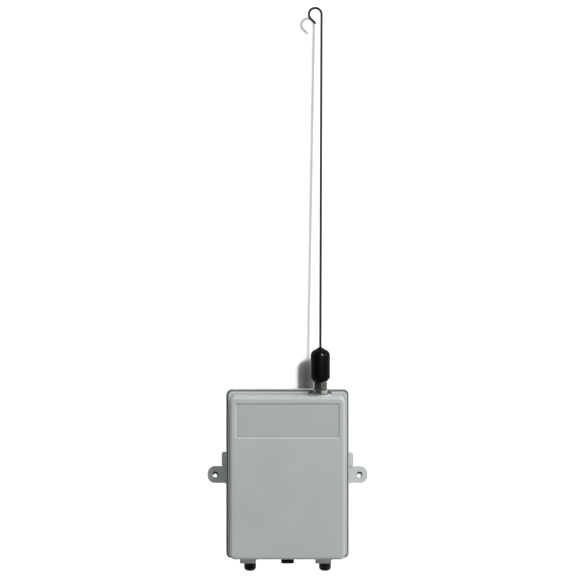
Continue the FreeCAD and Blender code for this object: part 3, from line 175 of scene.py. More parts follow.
def addTube(bm, points, radius, sides=16, index=0, rounded=False):
    # Tube along points in metres, with a frame that doesn't twist; round ends where asked
    last = len(points) - 1
    tangents = [(points[min(i + 1, last)] - points[max(i - 1, 0)]).normalized() for i in range(last + 1)]
    normal = tangents[0].orthogonal().normalized()
    radius = radius * mm
    rows = []
    for point, tangent in zip(points, tangents):
        normal = (normal - tangent * normal.dot(tangent)).normalized()
        rows.append((point, normal.copy(), tangent.cross(normal), radius))
    if rounded:
        ends = []
        for (point, one, two, r), way in ((rows[0], -tangents[0]), (rows[-1], tangents[-1])):
            ends.append([(point + way * r * math.sin(a), one, two, r * math.cos(a))
                         for a in (math.radians(30), math.radians(60), math.radians(84))])
        rows = ends[0][::-1] + rows + ends[1]
    angles = [2 * math.pi * k / sides for k in range(sides)]
    rings = [[point + (one * math.cos(a) + two * math.sin(a)) * r for a in angles]
             for point, one, two, r in rows]
    return addRings(bm, rings, index)


def addHex(bm, centre, flats, low, high, bore, chamfer, turn=0, soft=0.7):
    # Upright nut with soft edges between its flats, and corners turned down to a cone at both ends
    sixth = math.pi / 6
    apothem = flats / 2
    hub = (apothem - soft) / math.cos(sixth)
    corner = hub + soft
    softFrom = sixth - math.atan((apothem - soft) * math.tan(sixth) / apothem)
    lip = 0.25
    cone = apothem - 0.12       # radius at both ends

    def hexagon(angle, limit, height):
        local = (angle + math.radians(turn)) % (math.pi / 3) - sixth
        away = sixth - abs(local)
        reach = apothem / math.cos(local)
        if away < softFrom:
            reach = hub * math.cos(away) + math.sqrt(max(0, soft ** 2 - (hub * math.sin(away)) ** 2))
        return min(reach, limit)

    profile = [(bore + lip, low)]
    for height in ([low + chamfer * level / 6 for level in range(7)]
                   + [high - chamfer * level / 6 for level in range(6, -1, -1)]):
        away = min(height - low, high - height)
        limit = corner if away >= chamfer else cone + (corner - cone) * away / chamfer
        profile.append((limit, height))
    profile += [(bore + lip, high), (bore, high - lip), (bore, low + lip), (bore + lip, low)]
    addLathe(bm, "up", centre, profile, 144, shape=hexagon, caps=(0, 0))


def offsets(radius, level, *steps):
    # Profile points as steps outwards and upwards from one radius and level
    return [(radius + out, level + up) for out, up in steps]


def mirrored(x, side):
    # Profile along X that is the same on both sides of x
    return [(radius, x - away) for radius, away in side] + [(radius, x + away) for radius, away in side[::-1]]


def threadProfile(radius, low, high, pitch, depth):
    rows = []
    height = low
    while height + pitch <= high:
        rows += [(radius, height + 0.12 * pitch), (radius - depth, height + 0.5 * pitch),
                 (radius - depth, height + 0.56 * pitch), (radius, height + 0.94 * pitch)]
        height += pitch
    return rows


def newShape(add, *values, **more):
    # bmesh with one form in it
    bm = bmesh.new()
    add(bm, *values, **more)
    return bm


def loaded(mesh, index=None):
    # bmesh of a mesh, all of one surface where an index is given
    bm = bmesh.new()
    bm.from_mesh(mesh)
    if index is not None:
        for face in bm.faces:
            face.material_index = index
    return bm


def smoothMesh(mesh, angle):
    mesh.polygons.foreach_set("use_smooth", [True] * len(mesh.polygons))
    mesh.set_sharp_from_angle(angle=math.radians(angle))
    return mesh


def finishMesh(bm, smooth=35):
    bmesh.ops.remove_doubles(bm, verts=bm.verts, dist=2e-7)
    bmesh.ops.recalc_face_normals(bm, faces=bm.faces)
    mesh = bpy.data.meshes.new("mesh")
    bm.to_mesh(mesh)
    bm.free()
    return smoothMesh(mesh, smooth)


def carve(bm, *cutters, smooth=35):
    # Takes closed meshes away from another, one after the other
    mesh = None
    for cutter in cutters:
        body = addObject("body", finishMesh(loaded(mesh) if mesh else bm))
        tool = addObject("tool", finishMesh(cutter))
        step = body.modifiers.new("cut", "BOOLEAN")
        step.object = tool
        step.solver = "EXACT"
        graph = bpy.context.evaluated_depsgraph_get()
        mesh = bpy.data.meshes.new_from_object(body.evaluated_get(graph))
        bpy.data.objects.remove(body)
        bpy.data.objects.remove(tool)
        mesh.materials.clear()
        smoothMesh(mesh, smooth)
    return mesh


def boxOf(node):
    # Lowest and highest x, depth and z of a node, in millimetres
    low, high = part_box(node)
    return (low[0] / mm, high[0] / mm), (-high[1] / mm, -low[1] / mm), (low[2] / mm, high[2] / mm)


def frontBox(node):
    # Middle and size of a node seen from the front, and its lowest and highest depth
    (x0, x1), (d0, d1), (z0, z1) = boxOf(node)
    return ((x0 + x1) / 2, (z0 + z1) / 2), (x1 - x0, z1 - z0), d0, d1


def addPiece(name, body, slotName, source, smooth=35, surfaces=None, hides=None):
    # Visible piece from a bmesh or a carved mesh, in place of the node that it hides
    mesh = finishMesh(source, smooth) if isinstance(source, bmesh.types.BMesh) else source
    mesh.name = name
    for surfaceName in surfaces or [slotName]:
        mesh.materials.append(surface(surfaceName))
    piece = addObject(name, mesh)
    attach(piece, body)
    if hides:
        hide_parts(hides)


# Shader tools

def emptyTree(owner):
    owner.use_nodes = True
    owner.node_tree.nodes.clear()
    return owner.node_tree


def feed(node, inputs):
    # Links an input to a socket, or sets its number
    for name, value in inputs.items():
        if isinstance(value, bpy.types.NodeSocket):
            node.id_data.links.new(value, node.inputs[name])
        else:
            node.inputs[name].default_value = value


def addNode(tree, kind, inputs={}, **settings):
    node = tree.nodes.new("ShaderNode" + kind)
    for name, value in settings.items():
        setattr(node, name, value)
    feed(node, inputs)
    return node


def addMath(tree, operation, one, two):
    return addNode(tree, "Math", {0: one, 1: two}, operation=operation).outputs[0]


def addVector(tree, operation, inputs, output="Vector"):
    return addNode(tree, "VectorMath", inputs, operation=operation).outputs[output]


def addRange(tree, value, low, high, start=0, end=1):
    inputs = {"Value": value, "From Min": low, "From Max": high, "To Min": start, "To Max": end}
    return addNode(tree, "MapRange", inputs).outputs[0]


# Camera, walls and lamps

viewSettings = {
    "cameraPlace": (0.0004, -1.150, 0.1538),
    "lens": 85.7,
    "sensor": 36,
    "wallReach": 3.0,
    "wallGap": 0.0006,          # behind the case's back
    "wallBounce": 0.85,         # how white the wall is to the object
    "seenReach": 0.85,          # past it the white world goes on
    "seenGap": 0.0016,
    "seenTone": 0.1,            # the wall in the picture has lamps of its own
    "skyLevel": 0.176,
    "flagReach": 7.0,           # dark card behind the camera, seen only in gloss
    "flagPlace": -2.7,
    "flagTone": 0.01,
    "lampAim": (0, 0, 0.1),
}

lampSettings = {
    # direction from the object, distance, size, power
    "key": ((0.366, -0.855, 0.366), 2.2, 0.3, 16.5),
    "frontFill": ((-0.06, -1.0, -0.05), 2.6, 0.6, 14.2),
    "topFill": ((0.35, -0.5, 0.8), 1.6, 0.45, 13.2),
    "sideFill": ((0.9, -0.3, 0.3), 1.6, 0.7, 11),
    "glint": ((0.366, -0.855, 0.366), 2.2, 0.27, 220),
    "backFill": ((0, 1, -0.13), 2.2, 0.5, 27),
    "wallHard": ((0.325, -0.87, 0.366), 4.0, 0.1, 750),
    "wallSoft": ((0.365, -0.85, 0.366), 4.0, 0.75, 900),
    "wallWide": ((0.36, -0.84, 0.366), 4.0, 2.0, 470),
}


def makeCamera():
    data = bpy.data.cameras.new("camera")
    data.lens = viewSettings["lens"]
    data.sensor_width = viewSettings["sensor"]
    camera = addObject("camera", data)
    camera.location = viewSettings["cameraPlace"]
    camera.rotation_euler = (math.radians(90), 0, 0)
    scene.camera = camera


def makeWorld():
    # Full white to the camera, in gloss and through clear things, and dim as light
    world = bpy.data.worlds.new("studio")
    tree = emptyTree(world)
    path = addNode(tree, "LightPath").outputs
    seen = addMath(tree, "MAXIMUM", path["Is Camera Ray"], path["Is Glossy Ray"])
    seen = addMath(tree, "MAXIMUM", seen, path["Is Transmission Ray"])
    level = addRange(tree, seen, 0, 1, viewSettings["skyLevel"])
    sky = addNode(tree, "Background", {"Color": (1, 1, 1, 1), "Strength": level})
    addNode(tree, "OutputWorld", {"Surface": sky.outputs[0]})
    scene.world = world


def makeCard(name, tone, reach, y, way=1):
    # Diffuse card that is clear from behind; way -1 turns it round
    material = bpy.data.materials.new(name)
    tree = emptyTree(material)
    side = addNode(tree, "NewGeometry").outputs["Backfacing"]
    paint = addNode(tree, "BsdfDiffuse", {"Color": (tone, tone, tone, 1)}).outputs[0]
    clear = addNode(tree, "BsdfTransparent").outputs[0]
    oneSided = addNode(tree, "MixShader", {0: side, 1: paint, 2: clear})
    addNode(tree, "OutputMaterial", {"Surface": oneSided.outputs[0]})
    x = way * reach
    mesh = bpy.data.meshes.new(name)
    mesh.from_pydata([(-x, y, -reach), (x, y, -reach), (x, y, reach), (-x, y, reach)], [], [(0, 1, 2, 3)])
    mesh.materials.append(material)
    card = addObject(name, mesh)
    return card


def makeWalls():
    v = viewSettings
    felt = makeCard("wallFelt", v["wallBounce"], v["wallReach"], v["wallGap"])
    hideFrom(felt, "camera")
    seen = makeCard("wallSeen", v["seenTone"], v["seenReach"], v["seenGap"])
    hideFrom(seen, "diffuse", "glossy", "transmission", "shadow")
    flag = makeCard("darkFlag", v["flagTone"], v["flagReach"], v["flagPlace"], -1)
    hideFrom(flag, "camera", "diffuse", "transmission", "shadow")
    return seen


def makeLamp(name):
    direction, distance, size, power = lampSettings[name]
    data = bpy.data.lights.new(name, "AREA")
    data.energy = power
    data.size = size
    lamp = addObject(name, data)
    place = Vector(direction).normalized() * distance
    lamp.location = Vector(viewSettings["lampAim"]) + place
    lamp.rotation_euler = (-place).to_track_quat("-Z", "Y").to_euler()
    return lamp


holeShade = {
    "across": 60.325, "height": -2.4, "depth": 1.2, "sides": 40,
    "rings": ((1.65, 0.7, -0.2), (4.6, 0, 0)),      # radius, and shift to the right and up
}


def makeHoleShade(x):
    # Darkens the wall behind an ear hole, except where the light comes through
    h = holeShade
    bm = bmesh.new()
    addRings(bm, [ringAt("front", (x + right, h["height"] + up), radius, h["depth"], h["sides"])
                  for radius, right, up in h["rings"]], caps=(0, 0))
    mesh = bpy.data.meshes.new("holeShade")
    bm.to_mesh(mesh)
    bm.free()
    shade = addObject("holeShade", mesh)
    hideFrom(shade, "camera", "diffuse", "glossy", "transmission")
    return shade


makeCamera()
makeWorld()
seenWall = makeWalls()
lamps = {name: makeLamp(name) for name in lampSettings}
wallLamps = [lamps[name] for name in ("wallHard", "wallSoft", "wallWide")]
for name in ("frontFill", "topFill"):
    hideFrom(lamps[name], "glossy")
hideFrom(lamps["glint"], "diffuse")
holeShades = [makeHoleShade(x) for x in (-holeShade["across"], holeShade["across"])]
print("camera, walls and lamps made")


# Shader groups

def makeGroup(name, ins, outs):
    group = bpy.data.node_groups.new(name, "ShaderNodeTree")
    for label, value in ins.items():
        kind = "NodeSocketVector" if isinstance(value, tuple) else "NodeSocketFloat"
        group.interface.new_socket(label, in_out="INPUT", socket_type=kind).default_value = value
    for label in outs:
        group.interface.new_socket(label, in_out="OUTPUT", socket_type="NodeSocketFloat")
    return group, group.nodes.new("NodeGroupInput").outputs, group.nodes.new("NodeGroupOutput")


def makeGrainGroup():
    # Fine grain, broad mottle and rare specks, all in the object's own millimetres
    group, start, end = makeGroup("mouldedGrain", {"Grain": 1.0, "Mottle": 40.0, "Stretch": (1, 1, 1)},
                                  ("Fine", "Broad", "Specks"))
    place = addNode(group, "TexCoord").outputs["Object"]
    scaled = addVector(group, "SCALE", {0: place, "Scale": 1000})
    stretched = addVector(group, "MULTIPLY", {0: scaled, 1: start["Stretch"]})
    fineScale = addMath(group, "DIVIDE", 1, start["Grain"])
    broadScale = addMath(group, "DIVIDE", 1, start["Mottle"])
    fine = addNode(group, "TexNoise", {"Vector": stretched, "Scale": fineScale, "Detail": 3})
    broad = addNode(group, "TexNoise", {"Vector": scaled, "Scale": broadScale, "Detail": 4})
    cells = addNode(group, "TexVoronoi", {"Vector": scaled, "Scale": 0.35})
    specks = addRange(group, cells.outputs["Distance"], 0.05, 0.14, 1, 0)
    feed(end, {"Fine": fine.outputs["Fac"], "Broad": broad.outputs["Fac"], "Specks": specks})
    return group


def makeEdgeWearHighlightGroup():
    # Edges, broken up by noise, where a look's edge colour goes: partly wear, partly a painted edge highlight
    group, start, end = makeGroup("edgeWearAndHighlight", {"Width": 0.0004, "Patches": 0.5}, ("Mask",))
    rounded = addNode(group, "Bevel", {"Radius": start["Width"]}, samples=4).outputs[0]
    normal = addNode(group, "NewGeometry").outputs["Normal"]
    bend = addRange(group, addVector(group, "DOT_PRODUCT", {0: rounded, 1: normal}, "Value"), 0.99, 0.84)
    patches = addRange(group, start["Patches"], 0.35, 0.65)
    feed(end, {"Mask": addMath(group, "MULTIPLY", bend, patches)})
    return group


def makeCornerShadeGroup():
    # Painted shade: a darker colour in corners, where ambient occlusion finds them
    group, start, end = makeGroup("paintedCornerShade", {"Reach": 0.003}, ("Mask",))
    shade = addNode(group, "AmbientOcclusion", {"Distance": start["Reach"]}, only_local=True, samples=6)
    feed(end, {"Mask": addRange(group, shade.outputs["AO"], 0.85, 0.35)})
    return group


grainGroup = makeGrainGroup()
edgeWearHighlightGroup = makeEdgeWearHighlightGroup()
dustGroup = makeCornerShadeGroup()


# Surfaces

# dust is painted shade: a darker colour where ambient occlusion finds corners
plainLook = {
    "spread": 0.08, "bumpDepth": 0.04, "stretch": (1, 1, 1), "metal": 0, "specular": 0.5, "edge": None,
    "edgeWidth": 0.3, "dust": None, "dustReach": 2, "specks": 0, "coat": 0, "through": 0,
}


def look(colour, tone, grain, mottle, rough, bump, **more):
    # Two colours in a mottle, the sizes of grain and mottle, roughness, bump strength, and what isn't plain
    return {**plainLook, "colour": colour, "tone": tone, "grain": grain, "mottle": mottle, "rough": rough,
            "bump": bump, **more}


# edge is the colour on edges: partly wear, partly a painted edge highlight
looks = {
    "case_plastic": look((0.392, 0.422, 0.412), (0.41, 0.44, 0.432), 0.55, 26, 0.5, 0.22, spread=0.07,
                         bumpDepth=0.03, specular=0.42, edge=(0.44, 0.47, 0.46), edgeWidth=0.4,
                         dust=(0.33, 0.355, 0.345), dustReach=1, specks=0.06),
    # The label film's edge colour is darker than the film: painted shade along its border
    "label_film": look((0.387, 0.414, 0.415), (0.38, 0.407, 0.408), 0.9, 14, 0.36, 0.1, spread=0.05,
                       bumpDepth=0.02, edge=(0.36, 0.385, 0.386)),
    "seal_rubber": look((0.13, 0.134, 0.131), (0.11, 0.113, 0.11), 0.4, 12, 0.8, 0.4, bumpDepth=0.06,
                        specular=0.25, dust=(0.13, 0.13, 0.125)),
    "grommet_rubber": look((0.011, 0.011, 0.012), (0.016, 0.016, 0.016), 0.35, 6, 0.55, 0.35, bumpDepth=0.05,
                           specular=0.3, edge=(0.03, 0.03, 0.03)),
    "knob_plastic": look((0.007, 0.007, 0.008), (0.011, 0.011, 0.011), 0.3, 5, 0.38, 0.15, bumpDepth=0.03,
                         specular=0.35, edge=(0.03, 0.03, 0.032), edgeWidth=0.2),
    "antenna_plastic": look((0.002, 0.002, 0.0022), (0.0035, 0.0035, 0.0035), 0.3, 9, 0.27, 0.12,
                            bumpDepth=0.02, specular=0.045, edge=(0.014, 0.014, 0.015)),
    "plated_steel": look((0.6, 0.61, 0.6), (0.45, 0.46, 0.45), 0.25, 3, 0.36, 0.08, stretch=(1, 6, 1),
                         spread=0.1, bumpDepth=0.02, metal=1, edge=(0.75, 0.75, 0.74), dust=(0.2, 0.19, 0.17),
                         dustReach=1),
    "nickel_plate": look((0.62, 0.61, 0.58), (0.5, 0.49, 0.46), 0.3, 4, 0.2, 0.12, stretch=(1, 1, 7),
                         spread=0.1, bumpDepth=0.02, metal=1, edge=(0.8, 0.79, 0.76), edgeWidth=0.25),
    "whip_wire": look((0.022, 0.02, 0.018), (0.015, 0.014, 0.012), 0.25, 15, 0.4, 0.15, stretch=(1, 1, 0.12),
                      spread=0.1, bumpDepth=0.02, specular=0.2),
    "brass": look((0.6, 0.43, 0.19), (0.45, 0.31, 0.13), 0.3, 3, 0.32, 0.15, stretch=(1, 1, 6), spread=0.12,
                  bumpDepth=0.02, metal=1),
    "insulator_white": look((0.78, 0.78, 0.75), (0.72, 0.72, 0.69), 0.5, 4, 0.4, 0.1, through=0.3),
    "board_laminate": look((0.016, 0.12, 0.045), (0.022, 0.15, 0.06), 0.4, 9, 0.3, 0.25, bumpDepth=0.03,
                           edge=(0.34, 0.36, 0.2), coat=0.3),
    "lead_jacket": look((0.018, 0.018, 0.019), (0.028, 0.028, 0.028), 0.3, 5, 0.45, 0.25),
    "switch_red": look((0.36, 0.022, 0.018), (0.3, 0.018, 0.015), 0.35, 8, 0.42, 0.2, edge=(0.5, 0.07, 0.06),
                       edgeWidth=0.2, dust=(0.2, 0.03, 0.025), dustReach=1),
    "lever_white": look((0.72, 0.72, 0.68), (0.66, 0.66, 0.62), 0.3, 2, 0.4, 0.15),
    "terminal_green": look((0.012, 0.19, 0.06), (0.009, 0.15, 0.05), 0.4, 7, 0.45, 0.2,
                           edge=(0.05, 0.3, 0.13), edgeWidth=0.2, dust=(0.02, 0.1, 0.04)),
    "relay_blue": look((0.012, 0.045, 0.2), (0.01, 0.038, 0.17), 0.5, 10, 0.32, 0.15, edge=(0.06, 0.11, 0.3),
                       edgeWidth=0.25),
    "chip_black": look((0.016, 0.016, 0.017), (0.024, 0.024, 0.025), 0.22, 6, 0.55, 0.35, bumpDepth=0.03,
                       edge=(0.05, 0.05, 0.052), edgeWidth=0.12),
    "capacitor_sleeve": look((0.014, 0.018, 0.055), (0.011, 0.014, 0.045), 0.5, 6, 0.28, 0.12),
    "can_metal": look((0.66, 0.66, 0.64), (0.52, 0.52, 0.5), 0.35, 5, 0.42, 0.08, stretch=(1, 3, 1),
                      bumpDepth=0.02, metal=1, edge=(0.8, 0.8, 0.78), edgeWidth=0.2),
    "former_plastic": look((0.62, 0.58, 0.45), (0.55, 0.51, 0.39), 0.4, 4, 0.5, 0.2),
    "ferrite": look((0.035, 0.032, 0.03), (0.055, 0.05, 0.045), 0.25, 2, 0.6, 0.4, edge=(0.1, 0.09, 0.08),
                    edgeWidth=0.12),
    "resistor_tan": look((0.52, 0.37, 0.21), (0.46, 0.32, 0.17), 0.4, 3, 0.3, 0.2),
    "disc_orange": look((0.55, 0.2, 0.035), (0.47, 0.16, 0.025), 0.9, 3, 0.28, 0.35, bumpDepth=0.1),
    "header_black": look((0.013, 0.013, 0.014), (0.02, 0.02, 0.02), 0.3, 4, 0.45, 0.2,
                         edge=(0.045, 0.045, 0.045), edgeWidth=0.15),
    # surfaces that only scene pieces use
    "solderTin": look((0.62, 0.62, 0.6), (0.45, 0.45, 0.43), 0.5, 1.5, 0.32, 0.15, spread=0.1, bumpDepth=0.03,
                      metal=1),
    "traceGreen": look((0.035, 0.22, 0.085), (0.03, 0.19, 0.07), 0.5, 7, 0.3, 0.15, coat=0.3),
    "whiteInk": look((0.72, 0.73, 0.7), (0.62, 0.63, 0.6), 0.3, 2, 0.6, 0.2),
    "bandRed": look((0.4, 0.02, 0.015), (0.33, 0.018, 0.012), 0.2, 1, 0.5, 0.15),
    "bandBrown": look((0.12, 0.04, 0.015), (0.09, 0.03, 0.012), 0.2, 1, 0.5, 0.15),
    "bandOrange": look((0.7, 0.2, 0.02), (0.6, 0.17, 0.02), 0.2, 1, 0.5, 0.15),
    "bandGold": look((0.55, 0.38, 0.12), (0.42, 0.29, 0.09), 0.2, 1, 0.35, 0.15, metal=1),
    "bandSilver": look((0.6, 0.6, 0.59), (0.5, 0.5, 0.49), 0.2, 1, 0.35, 0.15, metal=1),
    "copperWire": look((0.55, 0.22, 0.09), (0.42, 0.16, 0.06), 0.2, 1, 0.3, 0.15, metal=1),
}

madeSurfaces = {}


def makeSurface(name):
    s = looks[name]
    material = bpy.data.materials.new(name)
    tree = emptyTree(material)
    sizes = {"Grain": s["grain"], "Mottle": s["mottle"], "Stretch": s["stretch"]}
    grain = addNode(tree, "Group", sizes, node_tree=grainGroup).outputs

    def blend(factor, start, colour, amount=1):
        if amount != 1:
            factor = addMath(tree, "MULTIPLY", factor, amount)
        start = (*start, 1) if isinstance(start, tuple) else start
        return addNode(tree, "Mix", {0: factor, 6: start, 7: (*colour, 1)}, data_type="RGBA").outputs[2]

    colour = blend(addRange(tree, grain["Broad"], 0.35, 0.65), s["colour"], s["tone"])
    if s["specks"]:
        colour = blend(grain["Specks"], colour, [0.6 * c for c in s["colour"]], s["specks"])
    # painted shade: darker colour in corners, from ambient occlusion
    if s["dust"]:
        dust = addNode(tree, "Group", {"Reach": s["dustReach"] * mm}, node_tree=dustGroup)
        colour = blend(dust.outputs[0], colour, s["dust"], 0.6)
    # edge colour: partly wear, partly a painted edge highlight
    if s["edge"]:
        wearAndHighlight = {"Width": s["edgeWidth"] * mm, "Patches": grain["Broad"]}
        edge = addNode(tree, "Group", wearAndHighlight, node_tree=edgeWearHighlightGroup)
        colour = blend(edge.outputs[0], colour, s["edge"], 0.55)
    fine, rough, spread = grain["Fine"], s["rough"], s["spread"]
    bump = addNode(tree, "Bump", {"Strength": s["bump"], "Distance": s["bumpDepth"] * mm, "Height": fine})
    shader = addNode(tree, "BsdfPrincipled", {
        "Base Color": colour, "Metallic": s["metal"], "Specular IOR Level": s["specular"],
        "Roughness": addRange(tree, fine, 0.3, 0.7, rough - spread, rough + spread),
        "Coat Weight": s["coat"], "Coat Roughness": 0.15, "Normal": bump.outputs[0],
        "Subsurface Weight": s["through"], "Subsurface Scale": 0.001,
    })
    addNode(tree, "OutputMaterial", {"Surface": shader.outputs[0]})
    return material


def surface(name):
    if name not in madeSurfaces:
        madeSurfaces[name] = makeSurface(name)
    return madeSurfaces[name]


for row in frame["record"]["subparts"]:
    node = nodes[row["node"]]
    node.data.materials.clear()
    node.data.materials.append(surface(row["material_slot"]))
print("surfaces made")


# Antenna foot, whip and nuts

antenna = {
    "axis": (26.9, 25), "baseLow": 77.2, "baseTop": 105.2, "radius": 8.0, "footInset": 2.3, "footHeight": 2.9,
    "bore": 3.3, "shoulder": 6.76, "round": 5.0, "turn": 61.3, "tipRadius": 2.7, "tipHeight": 0.9,
    "land": 1.5, "wireBore": 1.06, "wireBoreDepth": 1.4, "whipRadius": 1.0, "whipFoot": 99.2,
    "whipHeight": 281.4, "tip": 5.25, "tipTurn": 226, "tipLeg": 5.4, "lean": 0.26, "backLean": 2.1,
}


def makeAntennaBase():
    a = antenna
    r, low, top = a["radius"], a["baseLow"], a["baseTop"]
    foot = r - a["footInset"]
    rim = low + a["footHeight"]
    profile = offsets(a["bore"], low, (0, 0.5), (0.2, 0))
    profile += offsets(foot, low, (-0.35, 0), (-0.1, 0.08), (0.12, 0.3))
    profile += offsets(r, rim, (-0.22, -0.3), (-0.05, -0.02), (0, 0.3))
    for step in range(11):
        angle = math.radians(a["turn"] * step / 10)
        profile.append((r - a["round"] + a["round"] * math.cos(angle),
                        top - a["shoulder"] + a["round"] * math.sin(angle)))
    profile += offsets(a["tipRadius"], top - a["tipHeight"], (0.25, -0.14), (0, 0.05))
    profile += offsets(a["land"], top, (0.3, -0.14), (0, 0))
    profile += offsets(a["wireBore"], top, (0.06, 0), (0, -0.2), (0, -a["wireBoreDepth"]))
    base = newShape(addLathe, "up", a["axis"], profile, 96, caps=(0, 0))
    addPiece("antennaFoot", "antenna", "antenna_plastic", base, 40, hides="antenna_base")


def whipPoints():
    # Straight wire with a curl at its top, leaning a little
    a = antenna
    tip, height = a["tip"], a["whipHeight"]
    points = [Vector((0, 0, height * step / 12)) for step in range(12)]
    for step in range(33):
        angle = math.radians(a["tipTurn"] * step / 32)
        points.append(Vector((-tip + tip * math.cos(angle), 0, height + tip * math.sin(angle))))
    way = Vector((-math.sin(angle), 0, math.cos(angle)))
    last = points[-1]
    points += [last + way * a["tipLeg"] * part for part in (0.5, 0.94)]
    lean = Matrix.Rotation(math.radians(a["lean"]), 4, "Y")
    turn = lean @ Matrix.Rotation(-math.radians(a["backLean"]), 4, "X")
    foot = Vector((a["axis"][0], -a["axis"][1], a["whipFoot"]))
    return [(foot + turn @ point) * mm for point in points]


def makeWhip():
    wire = newShape(addTube, whipPoints(), antenna["whipRadius"], 20, rounded=True)
    addPiece("antennaWire", "antenna", "whip_wire", wire, 60, hides="antenna_whip")


nuts = {
    "flats": 11.1, "bore": 4.75, "throat": 3.25, "chamfer": 0.7, "washerRadius": 6.5, "washerBore": 4.8,
    "couplingTurn": 30, "locknutTurn": 26,      # so that their faces catch the light
    "threadPitch": 0.8, "threadDepth": 0.35, "barrelRadius": 4.75, "barrelBore": 3.3,
    "barrelHex": (60.4, 62.95),
}


def makeNuts():
    n = nuts
    axis = antenna["axis"]
    z0, z1 = boxOf("coupling_nut")[2]
    bore, throat = n["bore"], n["throat"]
    bm = newShape(addHex, axis, n["flats"], z0, z1 - 0.1, bore, n["chamfer"], n["couplingTurn"])
    profile = [(bore + 0.1, z1 - 0.9)] + offsets(throat, z1, (0.2, -0.9), (0, -0.7), (0, -0.1), (0.1, 0))
    addLathe(bm, "up", axis, profile + [(4.9, z1), (5.1, z1 - 0.15)], caps=(0, 0))
    addPiece("couplingHex", "coupling_nut", "nickel_plate", bm, 20, hides="coupling_nut")
    z0, z1 = boxOf("jack_locknut")[2]
    bm = newShape(addHex, axis, n["flats"], z0, z1, bore + 0.05, 0.5, n["locknutTurn"])
    addPiece("jackLocknut", "root", "nickel_plate", bm, 20, hides="jack_locknut")

    def serrated(angle, radius, height):
        return radius - (0.18 if radius > 6 and math.sin(18 * angle) > 0.3 else 0)

    z0, z1 = boxOf("jack_washer")[2]
    r, inner = n["washerRadius"], n["washerBore"]
    profile = offsets(inner, z0, (0.05, 0)) + offsets(r, z0, (-0.2, 0), (0, 0.2))
    profile += offsets(r, z1, (0, -0.2), (-0.2, 0)) + offsets(inner, z1, (0.05, 0), (0, -0.1))
    profile += offsets(inner, z0, (0, 0.1), (0.05, 0))
    bm = newShape(addLathe, "up", axis, profile, 80, shape=serrated, caps=(0, 0))
    addPiece("jackWasher", "root", "seal_rubber", bm, 30, hides="jack_washer")


def makeJack():
    n = nuts
    z0, z1 = boxOf("antenna_jack")[2]
    r, bore = n["barrelRadius"], n["barrelBore"]
    profile = offsets(bore, z0, (0, 0.3), (0.2, 0)) + offsets(r, z0, (-0.4, 0), (0, 0.3))
    profile += threadProfile(r, z0 + 0.4, z1 - 0.4, n["threadPitch"], n["threadDepth"])
    profile += offsets(r, z1, (0, -0.35), (-0.35, 0)) + offsets(bore, z1, (0.3, 0), (0, -0.3))
    profile += [(bore, z0 + 0.3)]
    bm = newShape(addLathe, "up", antenna["axis"], profile, caps=(0, 0))
    addHex(bm, antenna["axis"], n["flats"], *n["barrelHex"], r - 0.3, 0.5)
    addPiece("jackBarrel", "root", "nickel_plate", bm, 30, hides="antenna_jack")


makeAntennaBase()
makeWhip()
makeNuts()
makeJack()
print("antenna made")


# Thumbscrews and grommet

knob = {"radius": 4.95, "edge": 0.6, "collar": 1.4, "round": 2.9, "flutes": 26, "fluteDepth": 0.22,
        "slotWidth": 1.1, "slotDepth": 1.2, "depth": 8, "shankRadius": 2.0, "pitch": 0.7, "threadDepth": 0.28}


def makeKnob(side):
    k = knob
    (x0, x1), _, (low, top) = boxOf("knob_" + side)
    centre = ((x0 + x1) / 2, k["depth"])
    r = k["radius"]
    collar = top - k["collar"]
    straight = (collar - 0.35) - (low + k["round"])
    profile = [(2.15, top - 0.3), (2.4, top)] + offsets(r - k["edge"], top, (-0.15, 0), (0, -0.12))
    profile += offsets(r, collar, (-0.14, 0.2), (0, 0))
    profile += [(r, collar - 0.35 - straight * step / 6) for step in range(7)]
    for step in range(1, 10):
        angle = math.radians(90 * step / 9)
        profile.append((r - k["round"] + k["round"] * math.cos(angle),
                        low + k["round"] - k["round"] * math.sin(angle)))
    profile.append((0, low))
    fluteTop = collar - 0.3
    fluteLow = low + k["round"] * 0.75

    def fluted(angle, radius, height):
        if not fluteLow <= height <= fluteTop:
            return radius
        fade = min(1, (fluteTop - height) / 0.5, (height - fluteLow) / 0.8)
        wave = max(0, math.cos(k["flutes"] * angle)) ** 0.7
        return radius - k["fluteDepth"] * fade * wave

    head = newShape(addLathe, "up", centre, profile, k["flutes"] * 8, shape=fluted)
    slot = newShape(addSlab, "up", centre, (3 * r, k["slotWidth"]), 0.1, low - 1, low + k["slotDepth"], 0,
                    0.15)
    body = "thumbscrew_" + side
    addPiece("thumbKnob_" + side, body, "knob_plastic", carve(head, slot, smooth=40), hides="knob_" + side)
    low, top = boxOf("shank_" + side)[2]
    s = k["shankRadius"]
    profile = [(0, low), (s - 0.3, low), (s, low + 0.3), (s, low + 3.4)]
    profile += threadProfile(s, low + 3.6, top - 0.6, k["pitch"], k["threadDepth"])
    profile += [(s, top - 0.5), (s - 0.5, top), (0, top)]
    shank = newShape(addLathe, "up", centre, profile, 32)
    addPiece("thumbShank_" + side, body, "plated_steel", shank, 30, hides="shank_" + side)


grommet = {"size": (10.8, 7.6), "corner": 2.4, "groove": 1.0, "depth": 6.6, "bore": 2.3, "lip": 1.5,
           "wallLow": -69.85}


